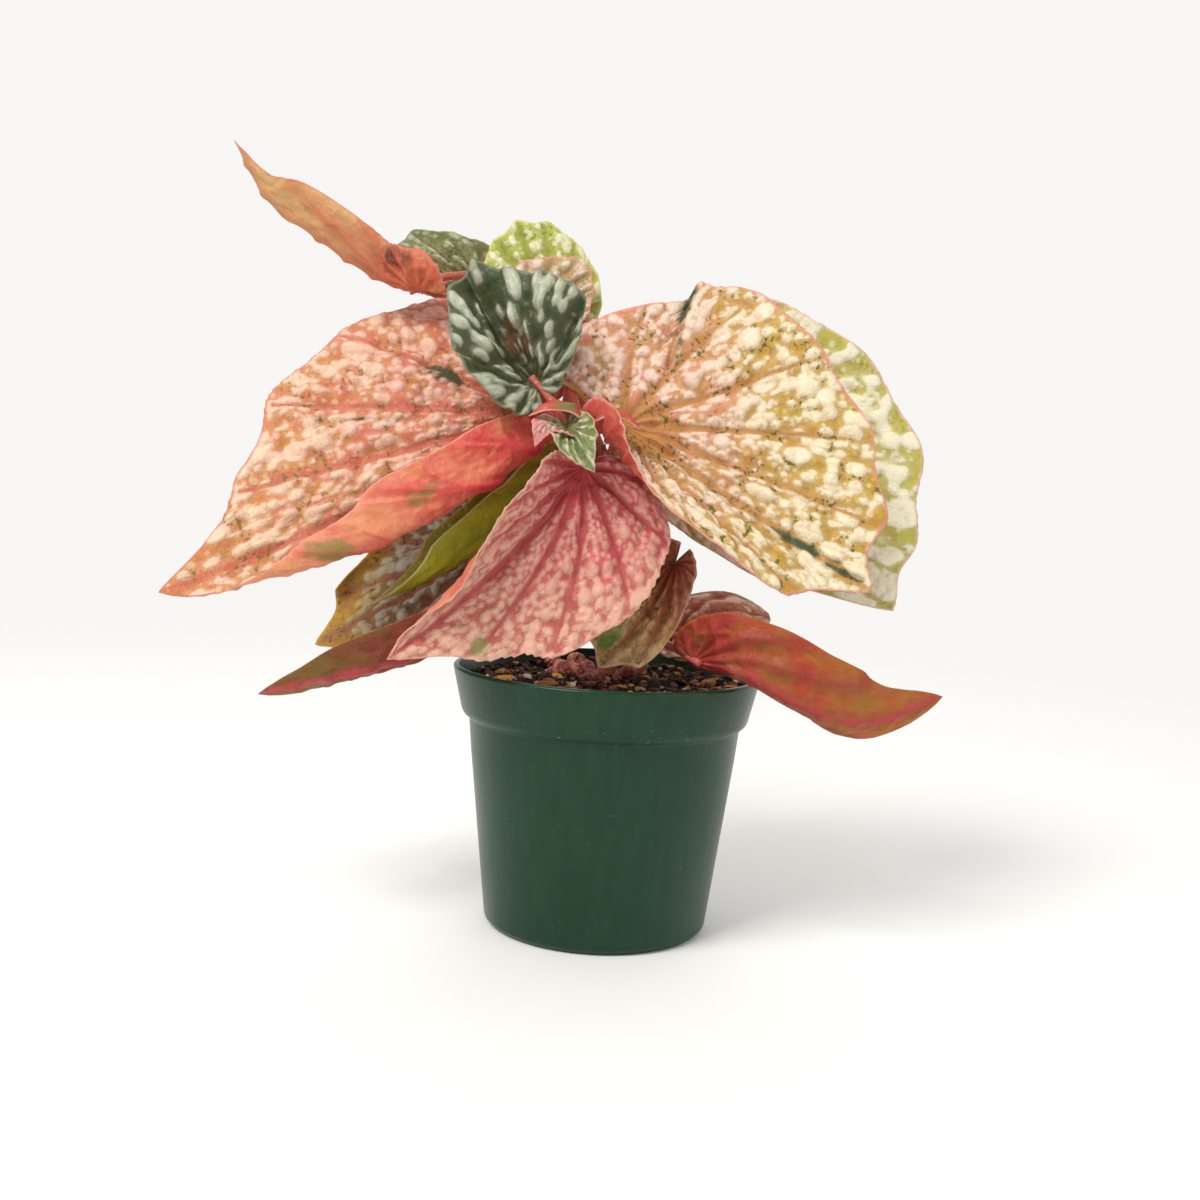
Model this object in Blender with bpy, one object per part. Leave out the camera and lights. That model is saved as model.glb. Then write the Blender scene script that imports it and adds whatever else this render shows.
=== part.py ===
"""A begonia with speckled pink and green leaves, growing on two canes in a round nursery pot of 76 mm.

Each leaf with its stalk, each cane, the soil and the pot is a solid of its own. The origin is the
middle of the pot's underside, +Z is up, and the plant's face looks along -Y.
Sizes are in millimetres, and MM turns them into metres where a mesh is made.
"""

import math
import random
from collections import namedtuple

import bmesh
import bpy
import numpy as np

MM = 0.001
CLEARANCE = 0.3  # between pieces that touch
TINY = 1e-9

# Pot
RIM_TOP_RADIUS = 38.0
RIM_LOW_RADIUS = 35.6
WALL_TOP_RADIUS = 33.6
WALL_LOW_RADIUS = 32.8
BASE_RADIUS = 27.8
POT_HEIGHT = 64.0
RIM_LOW_HEIGHT = 53.2
WALL_TOP_HEIGHT = 51.0
WALL_LOW_HEIGHT = 43.0
POT_WALL = 1.3
POT_FLOOR = 1.6
POT_STEPS = 48
POT_EDGE = 0.3  # the rounding of the rim
POT_CORNER_WIDTH = 1.2  # the bevel round the underside
POT_CORNER_HEIGHT = 1.4
POT_CORNER_INSIDE = 0.3
RIM_UNDERCUT = 0.5
RIM_UNDERCUT_HEIGHT = 1.0
DRAIN_HOLE_SIDES = 12
POT_GREEN = (0.03, 0.09, 0.05)
DRAIN_HOLES = 6
DRAIN_HOLE_RADIUS = 3.2
DRAIN_CIRCLE_RADIUS = 18.0

# Soil
SOIL_EDGE_HEIGHT = 60.4
SOIL_MOUND = 1.2
SOIL_GRAIN = 0.5
SOIL_RINGS = 6
CHIPS = 44
CHIP_LONG = (2.2, 4.6)
CHIP_THIN = (0.7, 1.4)
CHIP_REACH = 31.5
CHIP_CANE_ROOM = 6.5
CHIP_LIFT = 0.1
CHIP_TILT = 0.5
CHIP_SEED = 1
SOIL_STEP_GAP = 0.4  # above the steps of the pot's wall
SOIL_CORNER_GAP = 0.6
SOIL_BROWN = (0.035, 0.022, 0.015)

# Canes
CANE_FOOT_HEIGHT = 44.0
CANE_SIDES_RESOLUTION = 2
CANE_JOINTS = 7
CANE_JOINT_SWELL = 0.16
CANE_TAPER = 0.18
CANE_BUD = 0.05  # the share of its length that narrows to a tip
CANE_TIP = 0.35
CANE_RED = (0.23, 0.07, 0.04)
CANE_HOLE_SIDES = 16

# Blades
BLADE_THICKNESS = 0.7
VEIN_ANGLES = [0, 15, 34, 58, 88, 124]  # in degrees from the midrib, the same on both halves
LOBE_ANGLE = 165  # the last vein's, in the basal lobe
SCALLOP = 0.03  # how far the margin draws in between two veins
PUCKER = 0.8  # how far the blade swells between two veins, where they are PUCKER_REACH long or more
PUCKER_REACH = 25.0
PUCKER_LEAST = 0.2  # the share of it that is left where a half stands up or turns over
CREASE = 3.0  # how softly the blade folds at its midrib
STALK_RADIUS = 1.2
STALK_TAPER = 0.75
STALK_LAP = 2.5  # how far the stalk runs on under the blade

FRONT_CANE = [(0, 4, CANE_FOOT_HEIGHT), (0, 4, 64), (-1, 2, 95), (-4, -3, 119)]
REAR_CANE = [(8, 11, CANE_FOOT_HEIGHT), (8, 11, 64), (6, 16, 100), (-7, 21, 141)]
CANES = {"cane_front": (FRONT_CANE, 2.6), "cane_rear": (REAR_CANE, 2.4)}

# One half of a blade. veins: lengths from the stalk, first beside the midrib, last in the basal lobe.
# rise: how steeply the half folds up along the midrib, roll: how far its margin turns over, both in
# degrees at the basal lobe, the middle and the tip. fold: how far from the midrib it turns over.
# bend: how softly it turns over. tip: how bluntly the blade ends, 1 for a straight taper.
# lobe: the angle of its last vein.
Half = namedtuple("Half", "veins rise roll fold bend tip lobe",
                  defaults=[(0, 0, 0), (0, 0, 0), (12, 12, 12), 8, 1.25, LOBE_ANGLE])

# A leaf. rib: points of its midrib from stalk to tip. face: the way its upper side looks.
# left, right: its halves, seen on the upper side with the tip up. cane, height: where it grows.
# stalk: points between the cane and the blade.
Leaf = namedtuple("Leaf", "rib face left right cane height stalk colour columns rows crease",
                  defaults=[3, 5, CREASE])

PINK = (0.72, 0.36, 0.30)
CREAM = (0.72, 0.55, 0.32)
LIME = (0.42, 0.45, 0.05)
DARK = (0.10, 0.17, 0.10)
BROWN = (0.32, 0.11, 0.06)
OLIVE = (0.30, 0.24, 0.06)

LEAVES = {
    "leaf_left": Leaf(
        rib=[(-19, -6, 125), (-38, -11, 113), (-64, -16, 98), (-92, -20, 84), (-105, -22, 79)],
        face=(-0.1, -0.9, 0.35),
        left=Half((66, 50, 31, 19, 11, 6), roll=(165, 172, 160), fold=(7, 13, 6), bend=5),
        right=Half((76, 68, 56, 43, 22, 9), rise=(0, 5, 8), roll=(-20, -15, 0), fold=(25, 25, 25), bend=20,
                   tip=1.4),
        cane="cane_front", height=107, stalk=[(-11, 1, 121)], colour=PINK, rows=7),
    "leaf_right": Leaf(
        rib=[(1, -12, 123.5), (19, -16, 112), (41, -19, 99), (60, -22, 88)],
        face=(0.05, -0.93, 0.3),
        left=Half((66, 59, 51, 46, 31, 27), roll=(-10, 15, 20), fold=(25, 25, 25), bend=20, tip=3,
                  lobe=182),
        right=Half((56, 36, 24, 19, 15, 6), rise=(20, 40, 20), roll=(140, 20, 0), fold=(6, 12, 10), bend=6),
        cane="cane_front", height=112, stalk=[(-1, -9, 119)], colour=CREAM),
    "leaf_right_rear": Leaf(
        rib=[(8, 12, 121), (37, 13, 102), (72, 10, 81)],
        face=(0.1, -0.93, 0.3),
        left=Half((74, 72, 62, 48, 25, 13), roll=(15, 15, 10), fold=(25, 25, 25), bend=20),
        right=Half((47, 26, 19, 14, 12, 9)),
        cane="cane_rear", height=100, stalk=[(7, 17, 114)], colour=CREAM, rows=4),
    "leaf_centre": Leaf(
        rib=[(-8, -19, 113), (-19, -28, 97), (-35, -35, 80), (-48, -41, 69)],
        face=(0.26, -0.93, 0.22),
        left=Half((50, 43, 35, 26, 15, 5), roll=(15, 15, 20), fold=(15, 15, 15), bend=12),
        right=Half((44, 26, 15, 7, 4, 3), rise=(45, 58, 62), roll=(0, 10, 100), fold=(6, 6, 4), bend=4),
        cane="cane_front", height=92, stalk=[(-4, -10, 108)], colour=PINK),
    "leaf_lime": Leaf(
        rib=[(-17, 0, 114), (-24, -3, 100), (-38, -8, 88), (-57, -12, 78)],
        face=(-0.6, -0.25, 0.75),
        left=Half((40, 22, 12, 9, 7, 5), rise=(70, 75, 70), roll=(10, 15, 0), fold=(6, 6, 6), bend=4),
        right=Half((40, 22, 12, 9, 7, 5), rise=(70, 75, 70), roll=(10, 15, 0), fold=(6, 6, 6), bend=4),
        cane="cane_front", height=99, stalk=[(-11, -2, 113)], colour=LIME, columns=2, rows=4),
    "leaf_dark": Leaf(
        rib=[(-20, -14, 131.5), (-29, -12, 146), (-37, -9, 161)],
        face=(0, -0.96, 0.28),
        left=Half((31, 23, 17, 12, 9, 6), rise=(30, 30, 10)),
        right=Half((29, 27, 24, 10, 6, 5), rise=(30, 35, 10), roll=(-10, -10, 0), fold=(10, 10, 10)),
        cane="cane_front", height=116, stalk=[(-8, -11, 120), (-14, -15, 126)], colour=DARK, rows=4),
    "leaf_upper_left": Leaf(
        rib=[(-50, -2, 153.5), (-61, 1, 156), (-74, -1, 163.5), (-88, -3, 173.5), (-95, -5, 186)],
        face=(0.45, 0.15, 0.85),
        left=Half((41, 21, 13, 11, 9, 8), rise=(60, 65, 60), roll=(70, 30, 0), fold=(9, 9, 9), bend=5,
                  tip=1),
        right=Half((41, 21, 13, 11, 9, 8), rise=(60, 65, 60), roll=(70, 30, 0), fold=(9, 9, 9), bend=5,
                   tip=1),
        cane="cane_front", height=117, stalk=[(-14, 7, 137), (-30, 8, 157), (-43, 2, 158)], colour=PINK),
    "leaf_top_lime": Leaf(
        rib=[(-18, 16, 150), (-24, 22, 163), (-30, 28, 177)],
        face=(0, -0.9, 0.4),
        left=Half((29, 24, 17, 11, 6, 4), roll=(10, 10, 10)),
        right=Half((30, 24, 18, 13, 10, 8), roll=(-10, -10, -10)),
        cane="cane_rear", height=138, stalk=[(-13, 18, 145)], colour=LIME, columns=2, rows=4),
    "leaf_top_cream": Leaf(
        rib=[(-24, 11, 150), (-16, 13, 157), (-9, 15, 163)],
        face=(0, -0.95, 0.2),
        left=Half((20, 17, 15, 12, 9, 6)),
        right=Half((18, 15, 12, 9, 8, 6)),
        cane="cane_rear", height=128, stalk=[(-17, 12, 136)], colour=CREAM, columns=2, rows=3),
    "leaf_top_rear": Leaf(
        rib=[(-38, 24, 158), (-49, 26, 164), (-61, 28, 169)],
        face=(0, -0.8, 0.6),
        left=Half((24, 16, 12, 10, 8, 6)),
        right=Half((26, 20, 16, 13, 10, 7)),
        cane="cane_rear", height=134, stalk=[(-22, 25, 150)], colour=DARK, columns=2, rows=3),
    "leaf_lower_left_rear": Leaf(
        rib=[(-28, 6, 94), (-51, 10, 79), (-76, 14, 64)],
        face=(-0.3, -0.75, 0.6),
        left=Half((46, 30, 22, 18, 12, 9)),
        right=Half((48, 36, 29, 22, 16, 10), roll=(120, 20, 140), fold=(12, 16, 8), bend=5),
        cane="cane_rear", height=80, stalk=[(-8, 8, 94)], colour=OLIVE),
    "leaf_lower_left": Leaf(
        rib=[(-30, -6, 72), (-50, -15, 64.5), (-67, -20, 60), (-81, -22, 56.5)],
        face=(-0.1, 0.75, 0.65),
        left=Half((38, 22, 17, 15, 13, 9), roll=(30, 30, 0), fold=(8, 8, 8), tip=1),
        right=Half((36, 20, 14, 12, 10, 8), rise=(60, 60, 40), tip=1),
        cane="cane_front", height=74, stalk=[(-15, -1, 77)], colour=BROWN, rows=4),
    "leaf_hanging": Leaf(
        rib=[(15, -12, 92), (7, -20, 78), (-2, -24, 67)],
        face=(0.1, -0.96, 0.25),
        left=Half((27, 14, 8, 6, 5, 5)),
        right=Half((30, 20, 12, 8, 6, 5), rise=(30, 30, 10), roll=(40, 0, 0), fold=(6, 6, 6)),
        cane="cane_front", height=80, stalk=[(12, -2, 93)], colour=BROWN, columns=2, rows=4),
    "leaf_lower_right": Leaf(
        rib=[(20, -20, 69.5), (32, -28.5, 67.5), (46, -30, 61), (60, -27, 58), (78, -22, 64.5)],
        face=(0, 0.97, 0.2),
        left=Half((44, 15, 9, 7, 6, 6), rise=(85, 85, 35), tip=1),
        right=Half((46, 25, 16, 11, 8, 6), roll=(30, 30, 0), tip=1),
        cane="cane_front", height=68, stalk=[(7, -3, 71), (14, -12, 72)], colour=BROWN, crease=1.5),
    "leaf_lower_right_rear": Leaf(
        rib=[(16.5, 14.5, 71), (30, 18, 75.5), (43.5, 18, 72)],
        face=(0, -0.5, 0.85),
        left=Half((27, 20, 14, 12, 9, 6), rise=(10, 10, 10)),
        right=Half((27, 20, 14, 12, 9, 6), rise=(10, 10, 10)),
        cane="cane_rear", height=68, stalk=[(14, 13.5, 71)], colour=PINK, columns=2, rows=3),
    "leaf_young": Leaf(
        rib=[(-12, -20, 122), (-9, -26, 117), (-5, -29, 112)],
        face=(0.1, -0.9, 0.3),
        left=Half((12, 10, 8, 6, 5, 4), rise=(50, 60, 55)),
        right=Half((12, 10, 8, 6, 5, 4), rise=(50, 60, 55)),
        cane="cane_front", height=112, stalk=[(-9, -11, 117)], colour=LIME, columns=2, rows=3),
}


def clear_scene():
    for thing in list(bpy.context.scene.objects):
        bpy.data.objects.remove(thing, do_unlink=True)


def finish(name, colour, roughness):
    material = bpy.data.materials.new(name)
    material.use_nodes = True
    shader = material.node_tree.nodes["Principled BSDF"]
    shader.inputs["Base Color"].default_value = (*colour, 1)
    shader.inputs["Roughness"].default_value = roughness
    return material


def add_object(name, mesh, material=None):
    thing = bpy.data.objects.new(name, mesh)
    bpy.context.scene.collection.objects.link(thing)
    if material:
        mesh.materials.clear()
        mesh.materials.append(material)
    return thing


def split_faces(mesh):
    """Split the faces of a mesh into triangles."""
    shape = bmesh.new()
    shape.from_mesh(mesh)
    bmesh.ops.triangulate(shape, faces=shape.faces)
    shape.to_mesh(mesh)
    shape.free()


def mesh_from(name, points, faces):
    mesh = bpy.data.meshes.new(name)
    mesh.from_pydata([tuple(p) for p in np.asarray(points) * MM], [], faces)
    shape = bmesh.new()
    shape.from_mesh(mesh)
    bmesh.ops.recalc_face_normals(shape, faces=shape.faces)
    shape.to_mesh(mesh)
    shape.free()
    return mesh


def settle(thing):
    """Turn an object into the closed mesh that it shows, without modifiers."""
    depsgraph = bpy.context.evaluated_depsgraph_get()
    mesh = bpy.data.meshes.new_from_object(thing.evaluated_get(depsgraph))
    shape = bmesh.new()
    shape.from_mesh(mesh)
    bmesh.ops.remove_doubles(shape, verts=shape.verts, dist=0.002 * MM)
    bmesh.ops.dissolve_degenerate(shape, edges=shape.edges, dist=0.002 * MM)
    bmesh.ops.recalc_face_normals(shape, faces=shape.faces)
    shape.to_mesh(mesh)
    shape.free()
    if thing.type == "MESH":
        thing.modifiers.clear()
        thing.data = mesh
        return thing
    name, material = thing.name, thing.data.materials[:1]
    bpy.data.objects.remove(thing, do_unlink=True)
    return add_object(name, mesh, *material)


def combine(thing, others, operation, solver="EXACT"):
    """Join the others to an object, or cut them from it, and remove them."""
    group = bpy.data.collections.new("tools")
    for other in others:
        group.objects.link(other)
    boolean = thing.modifiers.new("combine", "BOOLEAN")
    boolean.operation = operation
    boolean.operand_type = "COLLECTION"
    boolean.collection = group
    boolean.solver = solver
    settle(thing)
    for other in others:
        bpy.data.objects.remove(other, do_unlink=True)
    bpy.data.collections.remove(group)


def smooth(thing, angle=40):
    thing.data.shade_smooth()
    thing.data.set_sharp_from_angle(angle=math.radians(angle))


def turned(name, profile, steps):
    """A solid of revolution from its profile: radius and height, from the axis back to the axis."""
    shape = bmesh.new()
    points = [shape.verts.new((r * MM, 0, z * MM)) for r, z in profile]
    edges = [shape.edges.new(pair) for pair in zip(points, points[1:])]
    bmesh.ops.spin(shape, geom=points + edges, axis=(0, 0, 1), cent=(0, 0, 0), angle=math.tau, steps=steps)
    bmesh.ops.remove_doubles(shape, verts=shape.verts, dist=0.01 * MM)
    bmesh.ops.dissolve_degenerate(shape, edges=shape.edges, dist=0.001 * MM)
    bmesh.ops.recalc_face_normals(shape, faces=shape.faces)
    mesh = bpy.data.meshes.new(name)
    shape.to_mesh(mesh)
    shape.free()
    return mesh


def cylinder(name, x, y, low, high, radius, sides):
    shape = bmesh.new()
    bmesh.ops.create_cone(shape, cap_ends=True, segments=sides, radius1=radius * MM, radius2=radius * MM,
                          depth=(high - low) * MM)
    bmesh.ops.translate(shape, verts=shape.verts, vec=(x * MM, y * MM, (low + high) / 2 * MM))
    mesh = bpy.data.meshes.new(name)
    shape.to_mesh(mesh)
    shape.free()
    return add_object(name, mesh)


def wall_radius(height):
    """Outer radius of the pot at a height."""
    heights = [0, WALL_LOW_HEIGHT, WALL_TOP_HEIGHT, RIM_LOW_HEIGHT, POT_HEIGHT]
    radii = [BASE_RADIUS, WALL_LOW_RADIUS, WALL_TOP_RADIUS, RIM_LOW_RADIUS, RIM_TOP_RADIUS]
    return float(np.interp(height, heights, radii))


def build_pot():
    outer = [(0, 0), (BASE_RADIUS - POT_CORNER_WIDTH, 0), (BASE_RADIUS, POT_CORNER_HEIGHT),
             (WALL_LOW_RADIUS, WALL_LOW_HEIGHT), (WALL_TOP_RADIUS, WALL_TOP_HEIGHT),
             (RIM_LOW_RADIUS - RIM_UNDERCUT, RIM_LOW_HEIGHT - RIM_UNDERCUT_HEIGHT),
             (RIM_LOW_RADIUS, RIM_LOW_HEIGHT), (RIM_TOP_RADIUS, POT_HEIGHT - POT_EDGE),
             (RIM_TOP_RADIUS - POT_EDGE, POT_HEIGHT)]
    inner = [(RIM_TOP_RADIUS - POT_WALL, POT_HEIGHT), (RIM_LOW_RADIUS - POT_WALL, RIM_LOW_HEIGHT),
             (WALL_TOP_RADIUS - POT_WALL, WALL_TOP_HEIGHT), (WALL_LOW_RADIUS - POT_WALL, WALL_LOW_HEIGHT),
             (BASE_RADIUS - POT_WALL - POT_CORNER_INSIDE, POT_FLOOR), (0, POT_FLOOR)]
    plastic = finish("pot_plastic", POT_GREEN, 0.35)
    pot = add_object("pot", turned("pot", outer + inner, POT_STEPS), plastic)
    holes = []
    for i in range(DRAIN_HOLES):
        turn = math.tau * (i + 0.5) / DRAIN_HOLES
        x, y = DRAIN_CIRCLE_RADIUS * math.cos(turn), DRAIN_CIRCLE_RADIUS * math.sin(turn)
        holes.append(cylinder("hole", x, y, -1, POT_FLOOR + 1, DRAIN_HOLE_RADIUS, DRAIN_HOLE_SIDES))
    combine(pot, holes, "DIFFERENCE")
    smooth(pot)


def soil_height(x, y):
    """Top of the soil: a low mound with coarse grain."""
    reach = RIM_TOP_RADIUS - POT_WALL
    mound = SOIL_MOUND * max(0.0, 1 - (x * x + y * y) / reach**2)
    grain = math.sin(0.9 * x + 1.3 * y) * math.sin(1.1 * y - 0.5 * x + 2)
    grain += 0.6 * math.sin(2.1 * x + 0.4) * math.sin(1.7 * y)
    return SOIL_EDGE_HEIGHT + mound + SOIL_GRAIN * grain


def chip(x, y, z, long, thin, rng):
    """One piece of bark or grit: a squared block with its corners pushed about."""
    shape = bmesh.new()
    bmesh.ops.create_cube(shape, size=1)
    for vert in shape.verts:
        vert.co.x *= long * rng.uniform(0.7, 1.1) * MM
        vert.co.y *= long * rng.uniform(0.35, 0.65) * MM
        vert.co.z *= thin * rng.uniform(0.8, 1.3) * MM
    bmesh.ops.triangulate(shape, faces=shape.faces)
    mesh = bpy.data.meshes.new("chip")
    shape.to_mesh(mesh)
    shape.free()
    piece = add_object("chip", mesh)
    piece.location = (x * MM, y * MM, z * MM)
    piece.rotation_euler = (rng.uniform(-CHIP_TILT, CHIP_TILT), rng.uniform(-CHIP_TILT, CHIP_TILT),
                            rng.uniform(0, math.tau))
    return piece


def build_soil():
    gap = POT_WALL + CLEARANCE
    rings = np.linspace(0, wall_radius(SOIL_EDGE_HEIGHT) - gap, SOIL_RINGS + 1)
    low = [(0, POT_FLOOR + CLEARANCE), (BASE_RADIUS - gap - SOIL_CORNER_GAP, POT_FLOOR + CLEARANCE)]
    steps = [(WALL_LOW_RADIUS, WALL_LOW_HEIGHT), (WALL_TOP_RADIUS, WALL_TOP_HEIGHT),
             (RIM_LOW_RADIUS, RIM_LOW_HEIGHT)]
    low += [(radius - gap, height + SOIL_STEP_GAP) for radius, height in steps]
    top = [(radius, SOIL_EDGE_HEIGHT) for radius in rings[::-1]]
    mix = finish("soil_mix", SOIL_BROWN, 0.95)
    soil = add_object("soil", turned("soil", low + top, POT_STEPS // 2), mix)
    edge = rings[-1] * MM * 0.99
    for vert in soil.data.vertices:
        if vert.co.z > (SOIL_EDGE_HEIGHT - 0.5) * MM and math.hypot(vert.co.x, vert.co.y) < edge:
            vert.co.z = soil_height(vert.co.x / MM, vert.co.y / MM) * MM
    split_faces(soil.data)
    rng = random.Random(CHIP_SEED)
    feet = [points[0] for points, radius in CANES.values()]
    chips = []
    while len(chips) < CHIPS:
        turn = rng.uniform(0, math.tau)
        reach = CHIP_REACH * math.sqrt(rng.uniform(0, 1))
        x, y = reach * math.cos(turn), reach * math.sin(turn)
        if min(math.hypot(x - foot[0], y - foot[1]) for foot in feet) < CHIP_CANE_ROOM:
            continue
        height = soil_height(x, y) + CHIP_LIFT
        chips.append(chip(x, y, height, rng.uniform(*CHIP_LONG), rng.uniform(*CHIP_THIN), rng))
    combine(soil, chips, "UNION", "MANIFOLD")
    holes = []
    for points, radius in CANES.values():
        x, y, z = points[0]
        room = radius + 2 * CLEARANCE
        holes.append(cylinder("hole", x, y, z - CLEARANCE, 1.1 * POT_HEIGHT, room, CANE_HOLE_SIDES))
    combine(soil, holes, "DIFFERENCE")
    smooth(soil, 30)


def through(points, where):
    """A smooth line through points, read at positions counted in points."""
    points = np.asarray(points, float)
    flat = points.reshape(len(points), -1)
    ends = np.vstack([2 * flat[0] - flat[1], flat, 2 * flat[-1] - flat[-2]])
    start = np.clip(np.floor(where).astype(int), 0, len(points) - 2)
    u = (where - start)[:, None]
    a, b, c, d = (ends[start + k] for k in range(4))
    line = 0.5 * (2 * b + (c - a) * u + (2 * a - 5 * b + 4 * c - d) * u**2 + (3 * b - a - 3 * c + d) * u**3)
    return line.reshape((len(where),) + points.shape[1:])


def unit(vectors):
    return vectors / np.maximum(np.linalg.norm(vectors, axis=-1, keepdims=True), TINY)


def tube(name, line, radii, resolution):
    """A round solid along a line, as a curve with a bevel and closed ends."""
    curve = bpy.data.curves.new(name, "CURVE")
    curve.dimensions = "3D"
    curve.bevel_depth = MM
    curve.bevel_resolution = resolution
    curve.use_fill_caps = True
    spline = curve.splines.new("POLY")
    spline.points.add(len(line) - 1)
    for point, place, radius in zip(spline.points, line, radii):
        point.co = (*(place * MM), 1)
        point.radius = radius
    return add_object(name, curve)


def cane_shape(points, radius):
    """A cane's middle line and its radii: thinner upward, thicker at each joint, pointed on top."""
    where = np.linspace(0, len(points) - 1, 4 * CANE_JOINTS + 1)
    share = np.linspace(0, 1, len(where))
    swell = 1 + CANE_JOINT_SWELL * (np.cos(math.tau * CANE_JOINTS * share) > 0.9)
    bud = np.clip((1 - share) / CANE_BUD, CANE_TIP, 1)
    return through(points, where), radius * (1 - CANE_TAPER * share) * swell * bud


def build_cane(name, points, radius):
    cane = tube(name, *cane_shape(points, radius), CANE_SIDES_RESOLUTION)
    cane.data.materials.append(finish(name + "_bark", CANE_RED, 0.5))
    smooth(settle(cane))


def along_thirds(values, share):
    """A value given at the basal lobe, the middle and the tip, blended along the midrib."""
    base, middle, tip = values
    low = np.clip((share + 0.25) / 0.6, 0, 1)
    high = np.clip((share - 0.35) / 0.65, 0, 1)
    return base + (middle - base) * low**2 * (3 - 2 * low) + (tip - middle) * high**2 * (3 - 2 * high)


def rib_frame(leaf, along):
    """Place, heading and upward normal of the midrib at distances from the stalk, and its length."""
    count = 121
    line = through(leaf.rib, np.linspace(0, len(leaf.rib) - 1, count))
    gone = np.concatenate([[0], np.cumsum(np.linalg.norm(np.diff(line, axis=0), axis=1))])
    heads = unit(np.gradient(line, gone, axis=0))
    inside = np.clip(along, 0, gone[-1])
    place = np.stack([np.interp(inside, gone, line[:, k]) for k in range(3)], -1)
    head = unit(np.stack([np.interp(inside, gone, heads[:, k]) for k in range(3)], -1))
    place = place + head * (along - inside)[:, None]
    face = np.array(leaf.face, float)
    normal = unit(face - head * (head @ face)[:, None])
    return place, head, normal, gone[-1]


def blade_points(leaf):
    """The blade's middle surface: a column of points for each direction from the left basal lobe
    over the tip to the right one, from the stalk out to the margin."""
    veins = len(VEIN_ANGLES)
    x = np.linspace(-veins, veins, 2 * veins * leaf.columns + 1)
    out = np.linspace(0, 1, leaf.rows + 1) ** 0.9
    length = rib_frame(leaf, np.zeros(1))[3]
    reach = through(np.array([*leaf.left.veins[::-1], length, *leaf.right.veins], float), x + veins)
    halves = [leaf.left if value <= 0 else leaf.right for value in x]
    beside = np.array([half.veins[0] for half in halves])
    sharp = np.array([half.tip for half in halves])
    ahead_of_veins = beside + (length - beside) * np.clip(1 - np.abs(x), 0, 1) ** sharp
    between = np.abs(x) % 1
    reach = np.where(np.abs(x) < 1, ahead_of_veins, reach) * (1 - SCALLOP * np.sin(math.pi * between) ** 2)
    angles = [through(np.radians([*VEIN_ANGLES, half.lobe]), np.abs(x)) for half in (leaf.left, leaf.right)]
    angle = np.where(x <= 0, *angles)
    ahead = np.outer(reach * np.cos(angle), out)
    across = np.outer(reach * np.sin(angle), out)
    place, head, normal, length = rib_frame(leaf, ahead.ravel())
    share = ahead / length
    steps = (np.arange(32) + 0.5) / 32
    level, raised, facing = np.zeros_like(share), np.zeros_like(share), np.zeros_like(share)
    for column, half in enumerate(halves):
        distance = np.outer(across[column], steps)
        rise = np.radians(along_thirds(half.rise, share[column]))[:, None]
        roll = np.radians(along_thirds(half.roll, share[column]))[:, None]
        fold = along_thirds(half.fold, share[column])[:, None]
        turn = np.clip((distance - fold + half.bend) / (2 * half.bend), 0, 1)
        slope = rise * (1 - np.exp(-distance / leaf.crease)) + roll * turn**2 * (3 - 2 * turn)
        level[column] = np.cos(slope).mean(1) * across[column] * (1 if x[column] <= 0 else -1)
        raised[column] = np.sin(slope).mean(1) * across[column]
        facing[column] = np.clip(2 * np.cos(slope[:, -1]), PUCKER_LEAST, 1)
    leftward = np.cross(normal, head)
    points = place + level.ravel()[:, None] * leftward + raised.ravel()[:, None] * normal
    points = points.reshape(share.shape + (3,))
    upward = unit(np.cross(np.gradient(points, axis=0), np.gradient(points, axis=1)))
    depth = PUCKER * np.clip(reach / PUCKER_REACH, 0, 1) * np.sin(math.pi * between) ** 2
    swell = np.outer(depth, np.sin(math.pi * out**0.8))
    return points + upward * (swell * facing)[..., None]


def blade_mesh(name, points):
    """The sheet of triangles through the blade's points, all columns starting at one point."""
    columns, rows = points.shape[0], points.shape[1] - 1
    places = np.vstack([points[:, 0].mean(0)[None], points[:, 1:].reshape(-1, 3)])
    faces = []
    for c in range(columns - 1):
        near, far = 1 + c * rows, 1 + (c + 1) * rows
        faces.append((0, near, far))
        for r in range(rows - 1):
            faces.append((near + r, near + r + 1, far + r + 1))
            faces.append((near + r, far + r + 1, far + r))
    return mesh_from(name, places, faces)


def stalk_line(leaf):
    """From just clear of the cane's skin to under the blade's base."""
    line, radii = cane_shape(*CANES[leaf.cane])
    k = int(np.argmin(np.abs(line[:, 2] - leaf.height)))
    foot = np.array([np.interp(leaf.height, line[:, 2], line[:, i]) for i in range(3)])
    axis = unit(line[k + 1] - line[k - 1])
    way = unit(np.array(leaf.stalk[0], float) - foot)
    level = unit(way - axis * (way @ axis))
    skin = np.interp(leaf.height, line[:, 2], radii) + CLEARANCE
    start = foot + level * (skin + STALK_RADIUS * abs(way @ axis))
    place, head, normal, _ = rib_frame(leaf, np.array([STALK_LAP]))
    return [start, *(np.array(p, float) for p in leaf.stalk), place[0] - 0.55 * STALK_RADIUS * normal[0]]


def build_leaf(name, leaf):
    material = finish(name + "_skin", leaf.colour, 0.45)
    blade = add_object(name, blade_mesh(name, blade_points(leaf)), material)
    thick = blade.modifiers.new("thickness", "SOLIDIFY")
    thick.thickness = BLADE_THICKNESS * MM
    thick.offset = 0
    thick.use_even_offset = True
    settle(blade)
    line = stalk_line(leaf)
    count = 3 * (len(line) - 1) + 1
    radii = np.linspace(STALK_RADIUS, STALK_RADIUS * STALK_TAPER, count)
    stalk = tube("stalk", through(line, np.linspace(0, len(line) - 1, count)), radii, 1)
    combine(blade, [settle(stalk)], "UNION", "MANIFOLD")
    smooth(blade, 50)


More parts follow.
